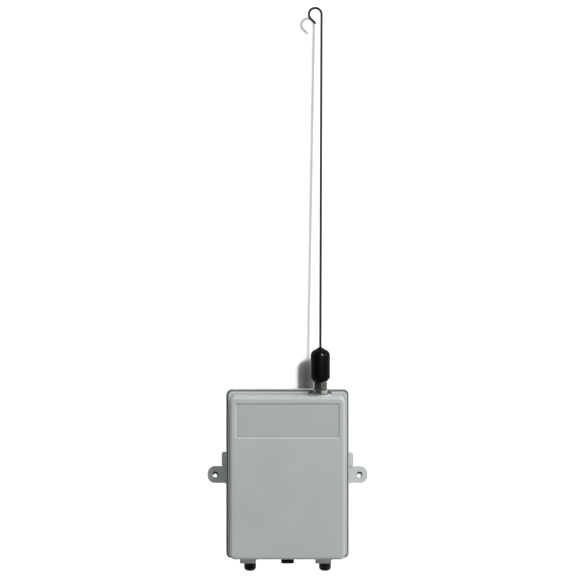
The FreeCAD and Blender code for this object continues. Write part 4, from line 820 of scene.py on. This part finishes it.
def makeGrommet():
    g = grommet
    z0, z1 = boxOf("wire_grommet")[2]
    centre = (0, g["depth"])
    width, height = g["size"]
    wallLow = g["wallLow"]
    floor = z1 - g["lip"]
    steps = 8
    rows = offsets(0, z0, (0.9, 0), (0.35, 0.15), (0.05, 0.6), (0, 1.1), (0, 2.4), (0.22, 2.55), (0.22, 2.95),
                   (0, 3.1))
    rows += offsets(0, wallLow, (0, -0.35), (0.2, 0), (g["groove"], 0))
    rows += offsets(0, floor, (g["groove"], 0), (0.25, 0), (0, 0.3)) + [(0.05, z1 - 0.5), (0.5, z1)]
    rings = []
    for inset, level in rows:
        outline = roundRect(width - 2 * inset, height - 2 * inset, g["corner"] - min(inset, 1.2), steps)
        rings.append(ringOf("up", centre, outline, level))
    angles = [math.atan2(y, x) for x, y in roundRect(width, height, g["corner"], steps)]
    bore = g["bore"]
    for r, level in ((bore + 0.5, z1), (bore, z1 - 0.3), (bore, z0 + 0.5), (bore + 0.6, z0)):
        rings.append(ringOf("up", centre, [(r * math.cos(a), r * math.sin(a)) for a in angles], level))
    rings.append(rings[0])
    bm = newShape(addRings, rings, caps=(0, 0))
    addPiece("wireGrommet", "root", "grommet_rubber", bm, 40, hides="wire_grommet")


makeKnob("left")
makeKnob("right")
makeGrommet()
print("thumbscrews and grommet made")


# Circuit board: traces, pads and printed marks

board = {
    "front": 10.1, "pitch": 2.54, "traceWidth": 0.7, "traceRise": 0.05, "padRadius": 0.95, "lineWidth": 0.22,
    "lineRise": 0.03, "screwPlaces": [(x, z) for x in (-37.5, 37.5) for z in (-51.5, 39.5)],
    # both rows of pads of each sort of part
    "switchPads": (10.2, 21.8), "chipPads": (-2.7, -11.3), "ampPads": (-3.7, -12.3),
    "resistorPads": (20.6, 31.4), "diodePads": (-11, -1), "discPads": (29.4, 34.6),
    "resistorFrame": (22.2, 29.8), "frameHalf": 1.5, "canGap": 0.5,
}
front = board["front"]
pitch = board["pitch"]


def addStrip(bm, points, width, low=front, rise=board["traceRise"]):
    # Flat ribbon through (x, z) points, mitred at its bends and round at its ends
    points = [Vector(point) for point in points]
    points = [point for i, point in enumerate(points) if i == 0 or (point - points[i - 1]).length > 1e-4]
    ways = [(b - a).normalized() for a, b in zip(points, points[1:])]
    sides = [Vector((-way.y, way.x)) for way in ways]
    half = width / 2
    left, right = [], []
    for i, point in enumerate(points):
        after = sides[min(i, len(sides) - 1)]
        middle = (sides[max(i - 1, 0)] + after).normalized()
        reach = middle * half / max(0.4, middle.dot(after))
        left.append(point + reach)
        right.append(point - reach)

    def cap(point, way, side):
        angles = [math.pi * k / 4 for k in (1, 2, 3)]
        return [point + half * (side * math.cos(a) + way * math.sin(a)) for a in angles]

    outline = left + cap(points[-1], ways[-1], sides[-1]) + right[::-1] + cap(points[0], -ways[0], -sides[0])
    addRings(bm, [ringOf("front", (0, 0), outline, level) for level in (low, low + rise)], caps=(0, 1))


def addBus(bm, starts, ends, zStart, zEnd, first, step):
    # Neighbouring traces with one diagonal jog each
    way = -1 if zEnd < zStart else 1
    for number, (xa, xb) in enumerate(zip(starts, ends)):
        bendAt = first + step * number
        addStrip(bm, [(xa, zStart), (xa, bendAt), (xb, bendAt + way * abs(xb - xa)), (xb, zEnd)],
                 board["traceWidth"] * 0.7)


def boxLines(bm, x0, z0, x1, z1):
    # Printed frame
    half = board["lineWidth"] / 2
    rings = []
    for grow, level in ((half, 0), (half, 1), (-half, 1), (-half, 0)):
        left, low, right, high = x0 - grow, z0 - grow, x1 + grow, z1 + grow
        corners = ((left, low), (right, low), (right, high), (left, high))
        rings.append(ringOf("front", (0, 0), corners, front + board["lineRise"] * level))
    addRings(bm, rings, caps=(0, 0))


def addText(bm, words, size, x, z, depth):
    # Generic printed number as a flat mesh facing forward
    data = bpy.data.curves.new("print", "FONT")
    data.body = words
    data.size = size * mm
    data.align_x = "CENTER"
    data.align_y = "CENTER"
    data.offset = 0.00002
    source = bpy.data.objects.new("print", data)
    mesh = bpy.data.meshes.new_from_object(source)
    mesh.transform(Matrix.Translation(spot(x, depth, z)) @ Matrix.Rotation(math.radians(90), 4, "X"))
    bpy.data.objects.remove(source)
    bpy.data.curves.remove(data)
    bm.from_mesh(mesh)


# Places on the board: x of each pin, z or x of each row, and what is printed
codePins = [-31.43 + pitch * k for k in range(10)]
chipPins = [-31.43 + pitch * k + 0.1 for k in range(9)]
ampPins = [4.2 + pitch * k for k in range(4)]
terminalPins = [2 * pitch * (k - 2) for k in range(5)]
resistorRows = [-18 + 4 * k for k in range(6)]
diodeRows = [-38 + 4.4 * k for k in range(4)]
discColumns = [-32 + 7 * k for k in range(4)]
pinRows = ((codePins, "switchPads"), (chipPins, "chipPads"), (ampPins, "ampPads"))
padPlaces = [(x, z) for pins, row in pinRows for z in board[row] for x in pins]
padPlaces += [(x, z) for z in resistorRows for x in board["resistorPads"]]
padPlaces += [(x, z) for z in diodeRows for x in board["diodePads"]]
padPlaces += [(x, z) for x in discColumns for z in board["discPads"]]
padPlaces += [(9 + pitch * k, -31) for k in (-1, 0, 1)] + [(26.9, 37.4), (29.2, 40.6), (24.4, 40.6)]
canPlaces = ((23, -34, 5.0, 16.0), (34, -34, 4.0, 12.0))        # x, z, radius, height
printedBoxes = (        # left, low, right, high
    (-34.2, 10.6, -5.8, 21.4), (-34.3, -44.2, -17.7, -23.8), (-14, -55.2, 14, -44.4),
    (22.3, 10.3, 33.7, 21.7), (5.6, -19.9, 14.4, -16.1), (3.2, -34, 14.8, -28.2), (2.6, 5, 17.8, 11),
)
printedWords = (("1", 1.8, -33.2, -13.2), ("+", 2.4, 16.6, -36.5), ("+", 2.4, 39.6, -36.5))     # size, x, z
loneTraces = (
    (1.6, [(26.9, 37.4), (26.9, 27.5), (28, 26.2), (28, 21.4)]),
    (1.8, [(-39.8, -46), (-39.8, 33)]),
    (1.8, [(-32, 41.3), (20, 41.3)]),
    (1.8, [(-32, -54), (-17, -54), (-15.6, -52.6), (-15.6, -47)]),
    (1.8, [(32, -54), (17, -54), (15.6, -52.6), (15.6, -40.4), (19, -37)]),
)


def makeTraces():
    wide = board["traceWidth"]
    switchLow, switchHigh = board["switchPads"]
    chipHigh, chipLow = board["chipPads"]
    ampHigh, ampLow = board["ampPads"]
    bm = bmesh.new()
    addBus(bm, codePins[:9], chipPins, switchLow, chipHigh, 7.4, -0.55)
    addBus(bm, codePins, [x + 0.9 for x in codePins], switchHigh, 27.4, 23.2, 0.28)
    addBus(bm, chipPins, [x * 0.82 - 3.2 for x in chipPins], chipLow, -21.5, -13.0, -0.35)
    addBus(bm, ampPins, [x - 3.4 for x in ampPins], ampLow, -23.0, -13.4, -0.5)
    addBus(bm, ampPins, [x + 0.6 for x in ampPins], ampHigh, 4.2, -1.6, 0.3)
    left, right = board["resistorPads"]
    for k, z in enumerate(resistorRows):
        x = 40.1 - 0.95 * k
        top = 20.5 - 1.2 * k
        addStrip(bm, [(right, z), (x - 1.2, z), (x, z + 1.2), (x, top - 0.8), (x - 0.8, top), (34.2, top)],
                 wide * 0.75)
        addStrip(bm, [(left, z), (17.6, z), (16.2, z - 1.2), (14.6, z - 1.2)], wide)
    left, right = board["diodePads"]
    upper = board["discPads"][1]
    for z, x in zip(diodeRows, discColumns):
        addStrip(bm, [(right, z), (1.6, z), (3.2, z + 1.6)], 1.2)
        addStrip(bm, [(left, z), (-13.4, z), (-16.6, z + 0.8)], 1.2)
        addStrip(bm, [(x, upper), (x, 37), (x + 1.2, 38.2), (x + 5.2, 38.2)], wide)
    for k, x in enumerate(terminalPins):
        addStrip(bm, [(x, -44.6), (x, -43.2 + 0.3 * k), (x * 1.5 - 2, -40.6)], 1.5)
    for width, points in loneTraces:
        addStrip(bm, points, width)
    addPiece("boardTraces", "root", "board_laminate", bm, 20, ["traceGreen"])


def makePads():
    bm = bmesh.new()
    r = board["padRadius"]
    pad = offsets(0, front, (r, 0), (r - 0.06, 0.07), (0.5, 0.09), (0.42, 0.32), (0.3, 0.4), (0, 0.42))
    ring = offsets(0, front, (3.6, 0), (3.55, 0.05), (1.75, 0.05), (1.7, 0))
    for place in padPlaces:
        addLathe(bm, "front", place, pad, 14, caps=(0, 1))
    for place in board["screwPlaces"]:
        addLathe(bm, "front", place, ring, 40, caps=(0, 0))
    addPiece("boardPads", "root", "plated_steel", bm, 40, ["solderTin"])


def makeMarks():
    bm = bmesh.new()
    for corners in printedBoxes:
        boxLines(bm, *corners)
    half, rise = board["lineWidth"] / 2, board["lineRise"]
    for x, z, radius, _ in canPlaces:
        line = offsets(radius + board["canGap"], front, (half, 0), (half, rise), (-half, rise), (-half, 0))
        addLathe(bm, "front", (x, z), line, 48, caps=(0, 0))
    left, right = board["resistorFrame"]
    for z in resistorRows:
        boxLines(bm, left, z - board["frameHalf"], right, z + board["frameHalf"])
    bm = loaded(finishMesh(bm, 20))
    for k, x in enumerate(terminalPins):
        addText(bm, str(k + 1), 2.0, x + 2.3, -43.3, front + 0.07)
    for k, z in enumerate(resistorRows):
        addText(bm, str(k + 1), 1.6, 18.6, z + 1.6, front + 0.03)
    for words, size, x, z in printedWords:
        addText(bm, words, size, x, z, front + 0.03)
    addPiece("boardMarks", "root", "insulator_white", bm, 20, ["whiteInk"])


codeSwitch = {
    "print": 1.5, "numbersUp": 1.15, "wordDown": 1.1, "lift": 0.012, "lineWidth": 0.25, "lineRise": 0.015,
    "arrow": (((-0.3, -1.7), (-0.3, -0.5)), ((-0.9, -1.05), (-0.3, -0.45), (0.3, -1.05))),
}
lever = {"corner": 0.14, "floor": 0.42, "ridgeLow": 0.46, "ridgeCorner": 0.12, "narrower": 0.1,
         "ridge": 0.62, "topRidge": 0.36, "topInset": 0.24, "topDrop": 0.12}


def makeSwitchMarks():
    c = codeSwitch
    _, (_, d1), (z0, z1) = boxOf("code_switch_body")
    bm = bmesh.new()
    for k, x in enumerate(codePins):
        addText(bm, str(k + 1), c["print"], x, z0 + c["numbersUp"], d1 + c["lift"])
    addText(bm, "ON", c["print"], codePins[0] + 0.4, z1 - c["wordDown"], d1 + c["lift"])
    for line in c["arrow"]:
        addStrip(bm, offsets(codePins[9], z1, *line), c["lineWidth"], d1, c["lineRise"])
    addPiece("switchMarks", "root", "insulator_white", bm, 20, ["whiteInk"])


def makeLevers():
    # Each has a ridge across its middle and a lower one at its upper end
    v = lever
    for k in range(1, 11):
        name = f"code_lever_{k}"
        centre, (width, height), d0, d1 = frontBox(name)
        upper = (centre[0], boxOf(name)[2][1] - v["topInset"])
        wide, corner, low = width - v["narrower"], v["ridgeCorner"], d1 - v["ridgeLow"]
        bm = newShape(addSlab, "front", centre, (width, height), v["corner"], d0, d1 - v["floor"], 0.05, 0.05,
                      steps=3)
        addSlab(bm, "front", centre, (wide, v["ridge"]), corner, low, d1, 0, 0.12, steps=3)
        addSlab(bm, "front", upper, (wide, v["topRidge"]), corner, low, d1 - v["topDrop"], 0, 0.1, steps=3)
        addPiece(f"codeLever_{k}", name, "lever_white", bm, 40, hides=name)


makeTraces()
makePads()
makeMarks()
makeSwitchMarks()
makeLevers()
print("board printed")


# Parts on the board

chip = {"half": 3.2, "stand": 0.5, "leg": 0.25, "legWidth": 1.3, "pinWidth": 0.55, "notch": 0.85, "dot": 0.42}


def makeChip(node, name, pins):
    c = chip
    (x0, x1), (d0, d1), (z0, z1) = boxOf(node)
    low = d0 + c["stand"]
    level = low + (d1 - low) * 0.5
    middle = (z0 + z1) / 2
    half, t = c["half"], c["leg"]
    centre, size = ((x0 + x1) / 2, middle), (x1 - x0, 2 * half - 0.1)
    body = newShape(addSlab, "front", centre, size, 0.15, low, d1, 0.35, 0.35, steps=3)
    notch, dot = c["notch"], c["dot"]
    notches = newShape(addLathe, "front", (x0, middle), [(notch, d1 - 0.55), (notch, d1 + 1)], 32)
    addLathe(notches, "front", (x0 + 1.5, middle - 1.9), [(dot, d1 - 0.12), (dot + 0.08, d1 + 1)], 24)
    bm = loaded(carve(body, notches, smooth=30))
    for x in pins:
        for sign in (-1, 1):
            edge = middle + sign * half
            out = middle + sign * (half + 0.5)
            for za, da, db, width in ((edge - sign * 0.4, level - t / 2, level + t / 2, c["legWidth"]),
                                      (out - sign * t, level - 1.5, level + t / 2 - 0.05, c["legWidth"]),
                                      (out - sign * t, d0, level - 1.4, c["pinWidth"])):
                size = (width, abs(out - za))
                addSlab(bm, "front", (x, (za + out) / 2), size, 0.05, da, db, 0.04, 0.04, 1, 2)
    addPiece(name, "root", "chip_black", bm, 30, ["chip_black", "solderTin"], node)


def leadPoints(xa, xb, z, depth, bend=0.6):
    # Wire lead that runs out sideways and turns down to the board
    sign = 1 if xb > xa else -1
    points = [spot(xa, depth, z), spot(xb - sign * bend, depth, z)]
    for step in range(1, 5):
        angle = math.pi / 2 * step / 4
        points.append(spot(xb - sign * bend * (1 - math.sin(angle)), depth - bend * (1 - math.cos(angle)), z))
    return points + [spot(xb, front, z)]


resistor = {"radius": 1.2, "waist": 0.17, "half": 3.2, "x": 26, "ends": board["resistorPads"], "lead": 0.3,
            "bands": (-2.05, -1.0, -0.1, 1.85)}
diode = {"radius": 1.35, "half": 2.6, "x": -6, "band": -4.5, "ends": board["diodePads"], "lead": 0.38}


def addLeads(bm, part, z, depth, inside, index):
    for end in part["ends"]:
        start = part["x"] + (inside if end > part["x"] else -inside)
        addTube(bm, leadPoints(start, end, z, depth), part["lead"], 10, index)


def makeResistors():
    p = resistor
    r, half, x = p["radius"], p["half"], p["x"]
    waist = r - p["waist"]
    slots = ["resistor_tan", "bandBrown", "bandRed", "bandOrange", "bandGold", "solderTin"]
    side = offsets(0, half, (0.3, 0), (0.75, -0.1), (1.05, -0.4), (r, -0.8), (r, -1.5), (waist, -1.9))
    profile = mirrored(x, side)
    bm = bmesh.new()
    for k, z in enumerate(resistorRows):
        depth = front + r + 0.2
        addLathe(bm, "side", (depth, z), profile, 28)
        order = [(k * 7 + 3) % 3, (k * 5 + 1) % 3, (k * 3 + 2) % 3, 3]
        for band, offset in zip(order, p["bands"]):
            outer = (r if abs(offset) > 1.7 else waist) + 0.02
            ring = offsets(outer, x + offset, (-0.05, -0.28), (0, -0.24), (0, 0.24), (-0.05, 0.28))
            addLathe(bm, "side", (depth, z), ring, 28, band + 1, caps=(0, 0))
        addLeads(bm, p, z, depth, 3, 5)
    addPiece("resistorRow", "root", "resistor_tan", bm, 35, slots, "resistors")


def makeDiodes():
    p = diode
    r, half = p["radius"], p["half"]
    profile = mirrored(p["x"], [(0.4, half), (r - 0.15, half), (r, half - 0.15)])
    band = offsets(r, p["band"], (-0.02, -0.4), (0.02, -0.35), (0.02, 0.35), (-0.02, 0.4))
    bm = bmesh.new()
    for z in diodeRows:
        depth = front + r + 0.2
        addLathe(bm, "side", (depth, z), profile, 28)
        addLathe(bm, "side", (depth, z), band, 28, 1, caps=(0, 0))
        addLeads(bm, p, z, depth, 2.4, 2)
    addPiece("diodeRow", "root", "chip_black", bm, 35, ["chip_black", "bandSilver", "solderTin"], "diodes")


disc = {"radius": 3.0, "z": 32, "lead": 0.27}


def makeDiscs():
    r, z = disc["radius"], disc["z"]
    depth = front + r + 0.2
    side = [(0, 1.1), (1.2, 1.08), (2.1, 0.95), (2.7, 0.65), (r, 0.2)]
    neck = offsets(0, depth, (0.3, -2.9), (0.55, -2.4), (0.6, -1.2))
    bm = bmesh.new()
    for x in discColumns:
        addLathe(bm, "side", (depth, z), mirrored(x, side), 36)
        for sign in (-1, 1):
            points = [spot(x, depth - 1.4, z + sign * 1.6), spot(x, depth - 2.4, z + sign * 2.2),
                      spot(x, front, z + sign * 2.6)]
            addTube(bm, points, disc["lead"], 10, 1)
            addLathe(bm, "front", (x, z + sign * 2.05), neck, 12, caps=(0, 1))
    addPiece("discRow", "root", "disc_orange", bm, 45, ["disc_orange", "solderTin"], "disc_capacitors")


can = {"ventWidth": 0.35, "ventDepth": 0.2, "bandAngle": 0.4, "bandHalf": 0.42, "bandLow": 2.5}


def crossCutters(place, width, length, radius, low, high, bevel=0):
    return [newShape(addSlab, "front", place, size, radius, low, high, bevel, 0, steps=2)
            for size in ((length, width), (width, length))]


def makeCans():
    c = can
    joined = bmesh.new()
    for x, z, radius, height in canPlaces:
        top = front + height
        profile = offsets(radius, front, (-0.7, 0), (-0.25, 0.15), (0, 0.6), (0, 1.5), (-0.35, 1.9),
                          (-0.35, 2.2), (0, 2.6))
        profile += offsets(radius, top, (0, -0.5), (-0.15, -0.15), (-0.5, 0), (-0.85, -0.05))
        sleeve = bmesh.new()
        for face in addLathe(sleeve, "front", (x, z), profile, 60, caps=(1, 0)):
            middle = face.calc_center_median()
            angle = math.atan2(middle.z / mm - z, middle.x / mm - x)
            if abs(angle - c["bandAngle"]) < c["bandHalf"] and middle.y < -(front + c["bandLow"]) * mm:
                face.material_index = 2
        profile = offsets(radius, top, (-0.9, -0.4), (-0.9, -0.12), (-1.1, -0.06), (-radius, -0.06))
        cap = newShape(addLathe, "front", (x, z), profile, 60)
        vent = c["ventWidth"]
        vents = crossCutters((x, z), vent, 2 * radius - 3, vent / 2.2, top - c["ventDepth"], top + 1)
        joined.from_mesh(finishMesh(sleeve, 40))
        start = len(joined.faces)
        joined.from_mesh(carve(cap, *vents, smooth=30))
        joined.faces.ensure_lookup_table()
        for face in joined.faces[start:]:
            face.material_index = 1
    addPiece("capacitorCans", "root", "capacitor_sleeve", joined, 35,
             ["capacitor_sleeve", "can_metal", "bandSilver"], "filter_capacitors")


relay = {"footInset": 0.3, "footHeight": 1.0, "corner": 0.8, "round": 0.5, "padInset": 3.4, "padRise": 0.22}


def makeRelay():
    # Case on a smaller foot, with a raised pad on its front
    e = relay
    centre, (width, height), d0, d1 = frontBox("relay")
    foot, pad = e["footInset"], e["padInset"]
    low, high = d0 + e["footHeight"], d1 - e["padRise"]
    bm = newShape(addSlab, "front", centre, (width - foot, height - foot), 0.5, d0, low, 0.1, 0.05)
    addSlab(bm, "front", centre, (width, height), e["corner"], low, high, 0.1, e["round"], steps=7)
    addSlab(bm, "front", centre, (width - pad, height - pad), 0.6, d1 - 0.5, d1, 0, 0.12)
    addPiece("relayCase", "root", "relay_blue", bm, 40, hides="relay")


regulator = {
    "tabLow": 13.1, "tabThick": 1.3, "hole": 1.9, "holeInset": 3.2, "bodyDepth": 17.6, "bodySize": 9,
    # depth, size and both levels of a leg's wide and narrow part
    "leg": ((12.4, (1.25, 1.6), (-31.3, -30.7)), (11.2, (0.8, 2.3), (-31.25, -30.75))),
}


def makeRegulator():
    g = regulator
    (x0, x1), (_, d1), (z0, z1) = boxOf("voltage_regulator")
    x, width = (x0 + x1) / 2, x1 - x0
    tab = newShape(addSlab, "up", (x, (g["tabLow"] + d1) / 2), (width, d1 - g["tabLow"]), 0.3,
                   z1 - g["tabThick"], z1, 0.08, 0.08, steps=3)
    hole = newShape(addLathe, "up", (x, d1 - g["holeInset"]), [(g["hole"], z1 - 3), (g["hole"], z1 + 3)], 40)
    bm = loaded(carve(tab, hole, smooth=30), 1)
    addSlab(bm, "up", (x, g["bodyDepth"]), (width, g["bodySize"]), 0.35, z0, z1 - 1.28, 0.45, 0.02, steps=4)
    for k in (-1, 0, 1):
        for depth, size, levels in g["leg"]:
            addSlab(bm, "up", (x + pitch * k, depth), size, 0.1, *levels, 0.05, 0.05, 1, 2)
    addPiece("regulatorPart", "root", "chip_black", bm, 35, ["chip_black", "can_metal"], "voltage_regulator")


transistor = {"places": ((6, 8), (15, 8)), "radius": 2.4, "flat": 57.2,
              "rows": ((0.12, 10.1), (0, 10.3), (0, 14.6), (0.06, 14.82), (0.2, 14.9))}


def makeTransistors():
    # Round bodies with a flat side
    t = transistor
    r, flat = t["radius"], math.radians(t["flat"])
    angles = [math.pi / 2 + flat + (2 * math.pi - 2 * flat) * step / 40 for step in range(41)]
    outline = [(r * math.cos(angle), r * math.sin(angle)) for angle in angles]
    bm = bmesh.new()
    for place in t["places"]:
        rings = []
        for inset, level in t["rows"]:
            scale = (r - inset) / r
            rings.append(ringOf("front", place, [(a * scale, b * scale) for a, b in outline], level))
        addRings(bm, rings)
    addPiece("transistorPair", "root", "chip_black", bm, 30, hides="transistors")


resonator = {"brim": 0.5, "inset": 0.8, "round": 0.7}


def makeResonator():
    # Flat oval can on a thin brim
    n = resonator
    centre, (width, height), d0, d1 = frontBox("resonator")
    r = height / 2 - 0.02
    size = (width - n["inset"], height - n["inset"])
    bm = newShape(addSlab, "front", centre, (width, height), r, d0, d0 + n["brim"], 0.1, 0.2, steps=12)
    addSlab(bm, "front", centre, size, r - n["inset"] / 2, d0 + 0.4, d1, 0, n["round"], steps=12)
    addPiece("resonatorCan", "root", "can_metal", bm, 40, hides="resonator")


terminalScrew = {"shank": 1.2, "neck": 1.85, "pitch": 0.5, "threadDepth": 0.18, "slot": (6, 0.7),
                 "slotDepth": 0.8}


def makeTerminalScrews():
    t = terminalScrew
    shank = t["shank"]
    for k in range(1, 6):
        name = f"terminal_screw_{k}"
        centre, (width, _), d0, d1 = frontBox(name)
        r = width / 2
        profile = [(0, d0), (shank - 0.3, d0), (shank, d0 + 0.3)]
        profile += threadProfile(shank, d0 + 0.35, d1 - 2.0, t["pitch"], t["threadDepth"])
        profile += [(shank, d1 - t["neck"])]
        profile += offsets(r, d1, (-0.2, -1.8), (0, -1.6), (0, -0.4), (-0.12, -0.12), (-0.5, 0), (-r, 0))
        screw = newShape(addLathe, "front", centre, profile, 40)
        slot = newShape(addSlab, "front", centre, t["slot"], 0.05, d1 - t["slotDepth"], d1 + 1, 0, 0, steps=1)
        addPiece(f"terminalScrew_{k}", name, "plated_steel", carve(screw, slot), hides=name)


boardScrew = {
    "shank": 1.45, "tip": 0.6, "length": 6.4, "pitch": 0.8, "threadDepth": 0.3, "cross": (0.6, 2.6),
    "crossLow": 0.8,
    "head": ((2.75, 0), (2.8, 0.15), (2.75, 0.8), (2.5, 1.4), (2.0, 1.8), (1.2, 1.96), (0, 2.0)),
}


def makeBoardScrews():
    w = boardScrew
    shank, length = w["shank"], w["length"]
    profile = offsets(0, front, (0, -length), (w["tip"], -length), (shank, 1 - length))
    profile += threadProfile(shank, front - 5.3, front - 0.6, w["pitch"], w["threadDepth"])
    profile += offsets(0, front, (shank, 0), *w["head"])
    low = front + w["crossLow"]
    joined = bmesh.new()
    for place in board["screwPlaces"]:
        screw = newShape(addLathe, "front", place, profile, 40)
        joined.from_mesh(carve(screw, *crossCutters(place, *w["cross"], 0.15, low, front + 3, 0.1)))
    addPiece("boardScrews", "root", "plated_steel", joined, 35, hides="board_screws")


jumper = {"block": 0.45, "pin": 0.64, "wall": 0.75, "roof": 0.8, "slot": (2.2, 0.7)}


def makeJumper():
    j = jumper
    (x0, x1), (d0, d1), (z0, z1) = boxOf("jumper_header")
    bm = bmesh.new()
    for k in range(3):
        centre = (x0 + pitch * (k + 0.5), (z0 + z1) / 2)
        addSlab(bm, "front", centre, (pitch, pitch), j["block"], d0, d0 + pitch, 0.08, 0.15, steps=2)
        addSlab(bm, "front", centre, (j["pin"], j["pin"]), 0.05, d0, d1, 0, 0.25, 1, 1)
    addPiece("jumperPins", "root", "header_black", bm, 30, ["header_black", "bandGold"], "jumper_header")
    centre, (width, height), d0, d1 = frontBox("jumper_plug")
    inner = (width - 2 * j["wall"], height - 2 * j["wall"])
    shell = newShape(addSlab, "front", centre, (width, height), 0.3, d0, d1, 0.1, 0.25, steps=3)
    room = newShape(addSlab, "front", centre, inner, 0.15, d0 - 1, d1 - j["roof"], 0, 0, steps=2)
    slot = newShape(addSlab, "front", centre, j["slot"], 0.1, d1 - 2, d1 + 1, 0, 0, steps=1)
    cap = carve(shell, room, slot, smooth=30)
    addPiece("jumperCap", "jumper_plug", "header_black", cap, hides="jumper_plug")


lead = {
    "top": 50.4, "straightLow": 45.65, "bend": 6.5, "radius": 1.3, "coreRadius": 0.95, "wireRadius": 0.35,
    # depth and z
    "end": (13.6, 39.15), "core": ((14.2, 39.15), (12.2, 39.15)),
    "wire": ((12.6, 39.15), (11.2, 39.0), (10.4, 38.0), (10.1, 37.4)),
    "ferrule": ((1.3, 48.6), (1.75, 48.8), (1.75, 50.2), (1.5, 50.4)),      # radius and z
}


def makeLead():
    # Coaxial lead from the jack's foot, down and forwards to the board
    e = lead
    x, depth = antenna["axis"]
    low, bend = e["straightLow"], e["bend"]
    points = [spot(x, depth, z) for z in (e["top"], 47, low)]
    for step in range(1, 13):
        angle = math.pi / 2 * step / 12
        points.append(spot(x, depth - bend * (1 - math.cos(angle)), low - bend * math.sin(angle)))
    points.append(spot(x, *e["end"]))
    bm = newShape(addTube, points, e["radius"], 24)
    addTube(bm, [spot(x, *place) for place in e["core"]], e["coreRadius"], 20, 1)
    addTube(bm, [spot(x, *place) for place in e["wire"]], e["wireRadius"], 12, 2)
    addLathe(bm, "up", (x, depth), e["ferrule"], 32, 1, caps=(0, 0))
    addPiece("antennaLead", "root", "lead_jacket", bm, 40, ["lead_jacket", "solderTin", "copperWire"],
             "antenna_lead")


makeChip("decoder_chip", "decoderChip", chipPins)
makeChip("amplifier_chip", "amplifierChip", ampPins)
makeResistors()
makeDiodes()
makeDiscs()
makeCans()
makeRelay()
makeRegulator()
makeTransistors()
makeResonator()
makeTerminalScrews()
makeBoardScrews()
makeJumper()
makeLead()
print("board parts made")


# Light linking

def collect(name, things):
    group = bpy.data.collections.new(name)
    for thing in things:
        group.objects.link(thing)
    return group


def linkLamp(lamp, lit, blockers=None):
    lamp.light_linking.receiver_collection = lit
    if blockers:
        lamp.light_linking.blocker_collection = blockers


# The wall's lamps throw only the antenna's shadow
pieces = bpy.data.objects
thrown = ["antennaFoot", "antennaWire", "couplingHex", "jackLocknut", "jackBarrel"]
shadows = collect("antennaShadow", [pieces[name] for name in thrown] + holeShades)
wall = collect("litWall", [seenWall])
for lamp in wallLamps:
    linkLamp(lamp, wall, shadows)
linkLamp(lamps["glint"], collect("glintReceivers", [pieces["antennaFoot"]]))
back = collect("backReceivers", [nodes["rear_housing"]])
linkLamp(lamps["backFill"], back, back)
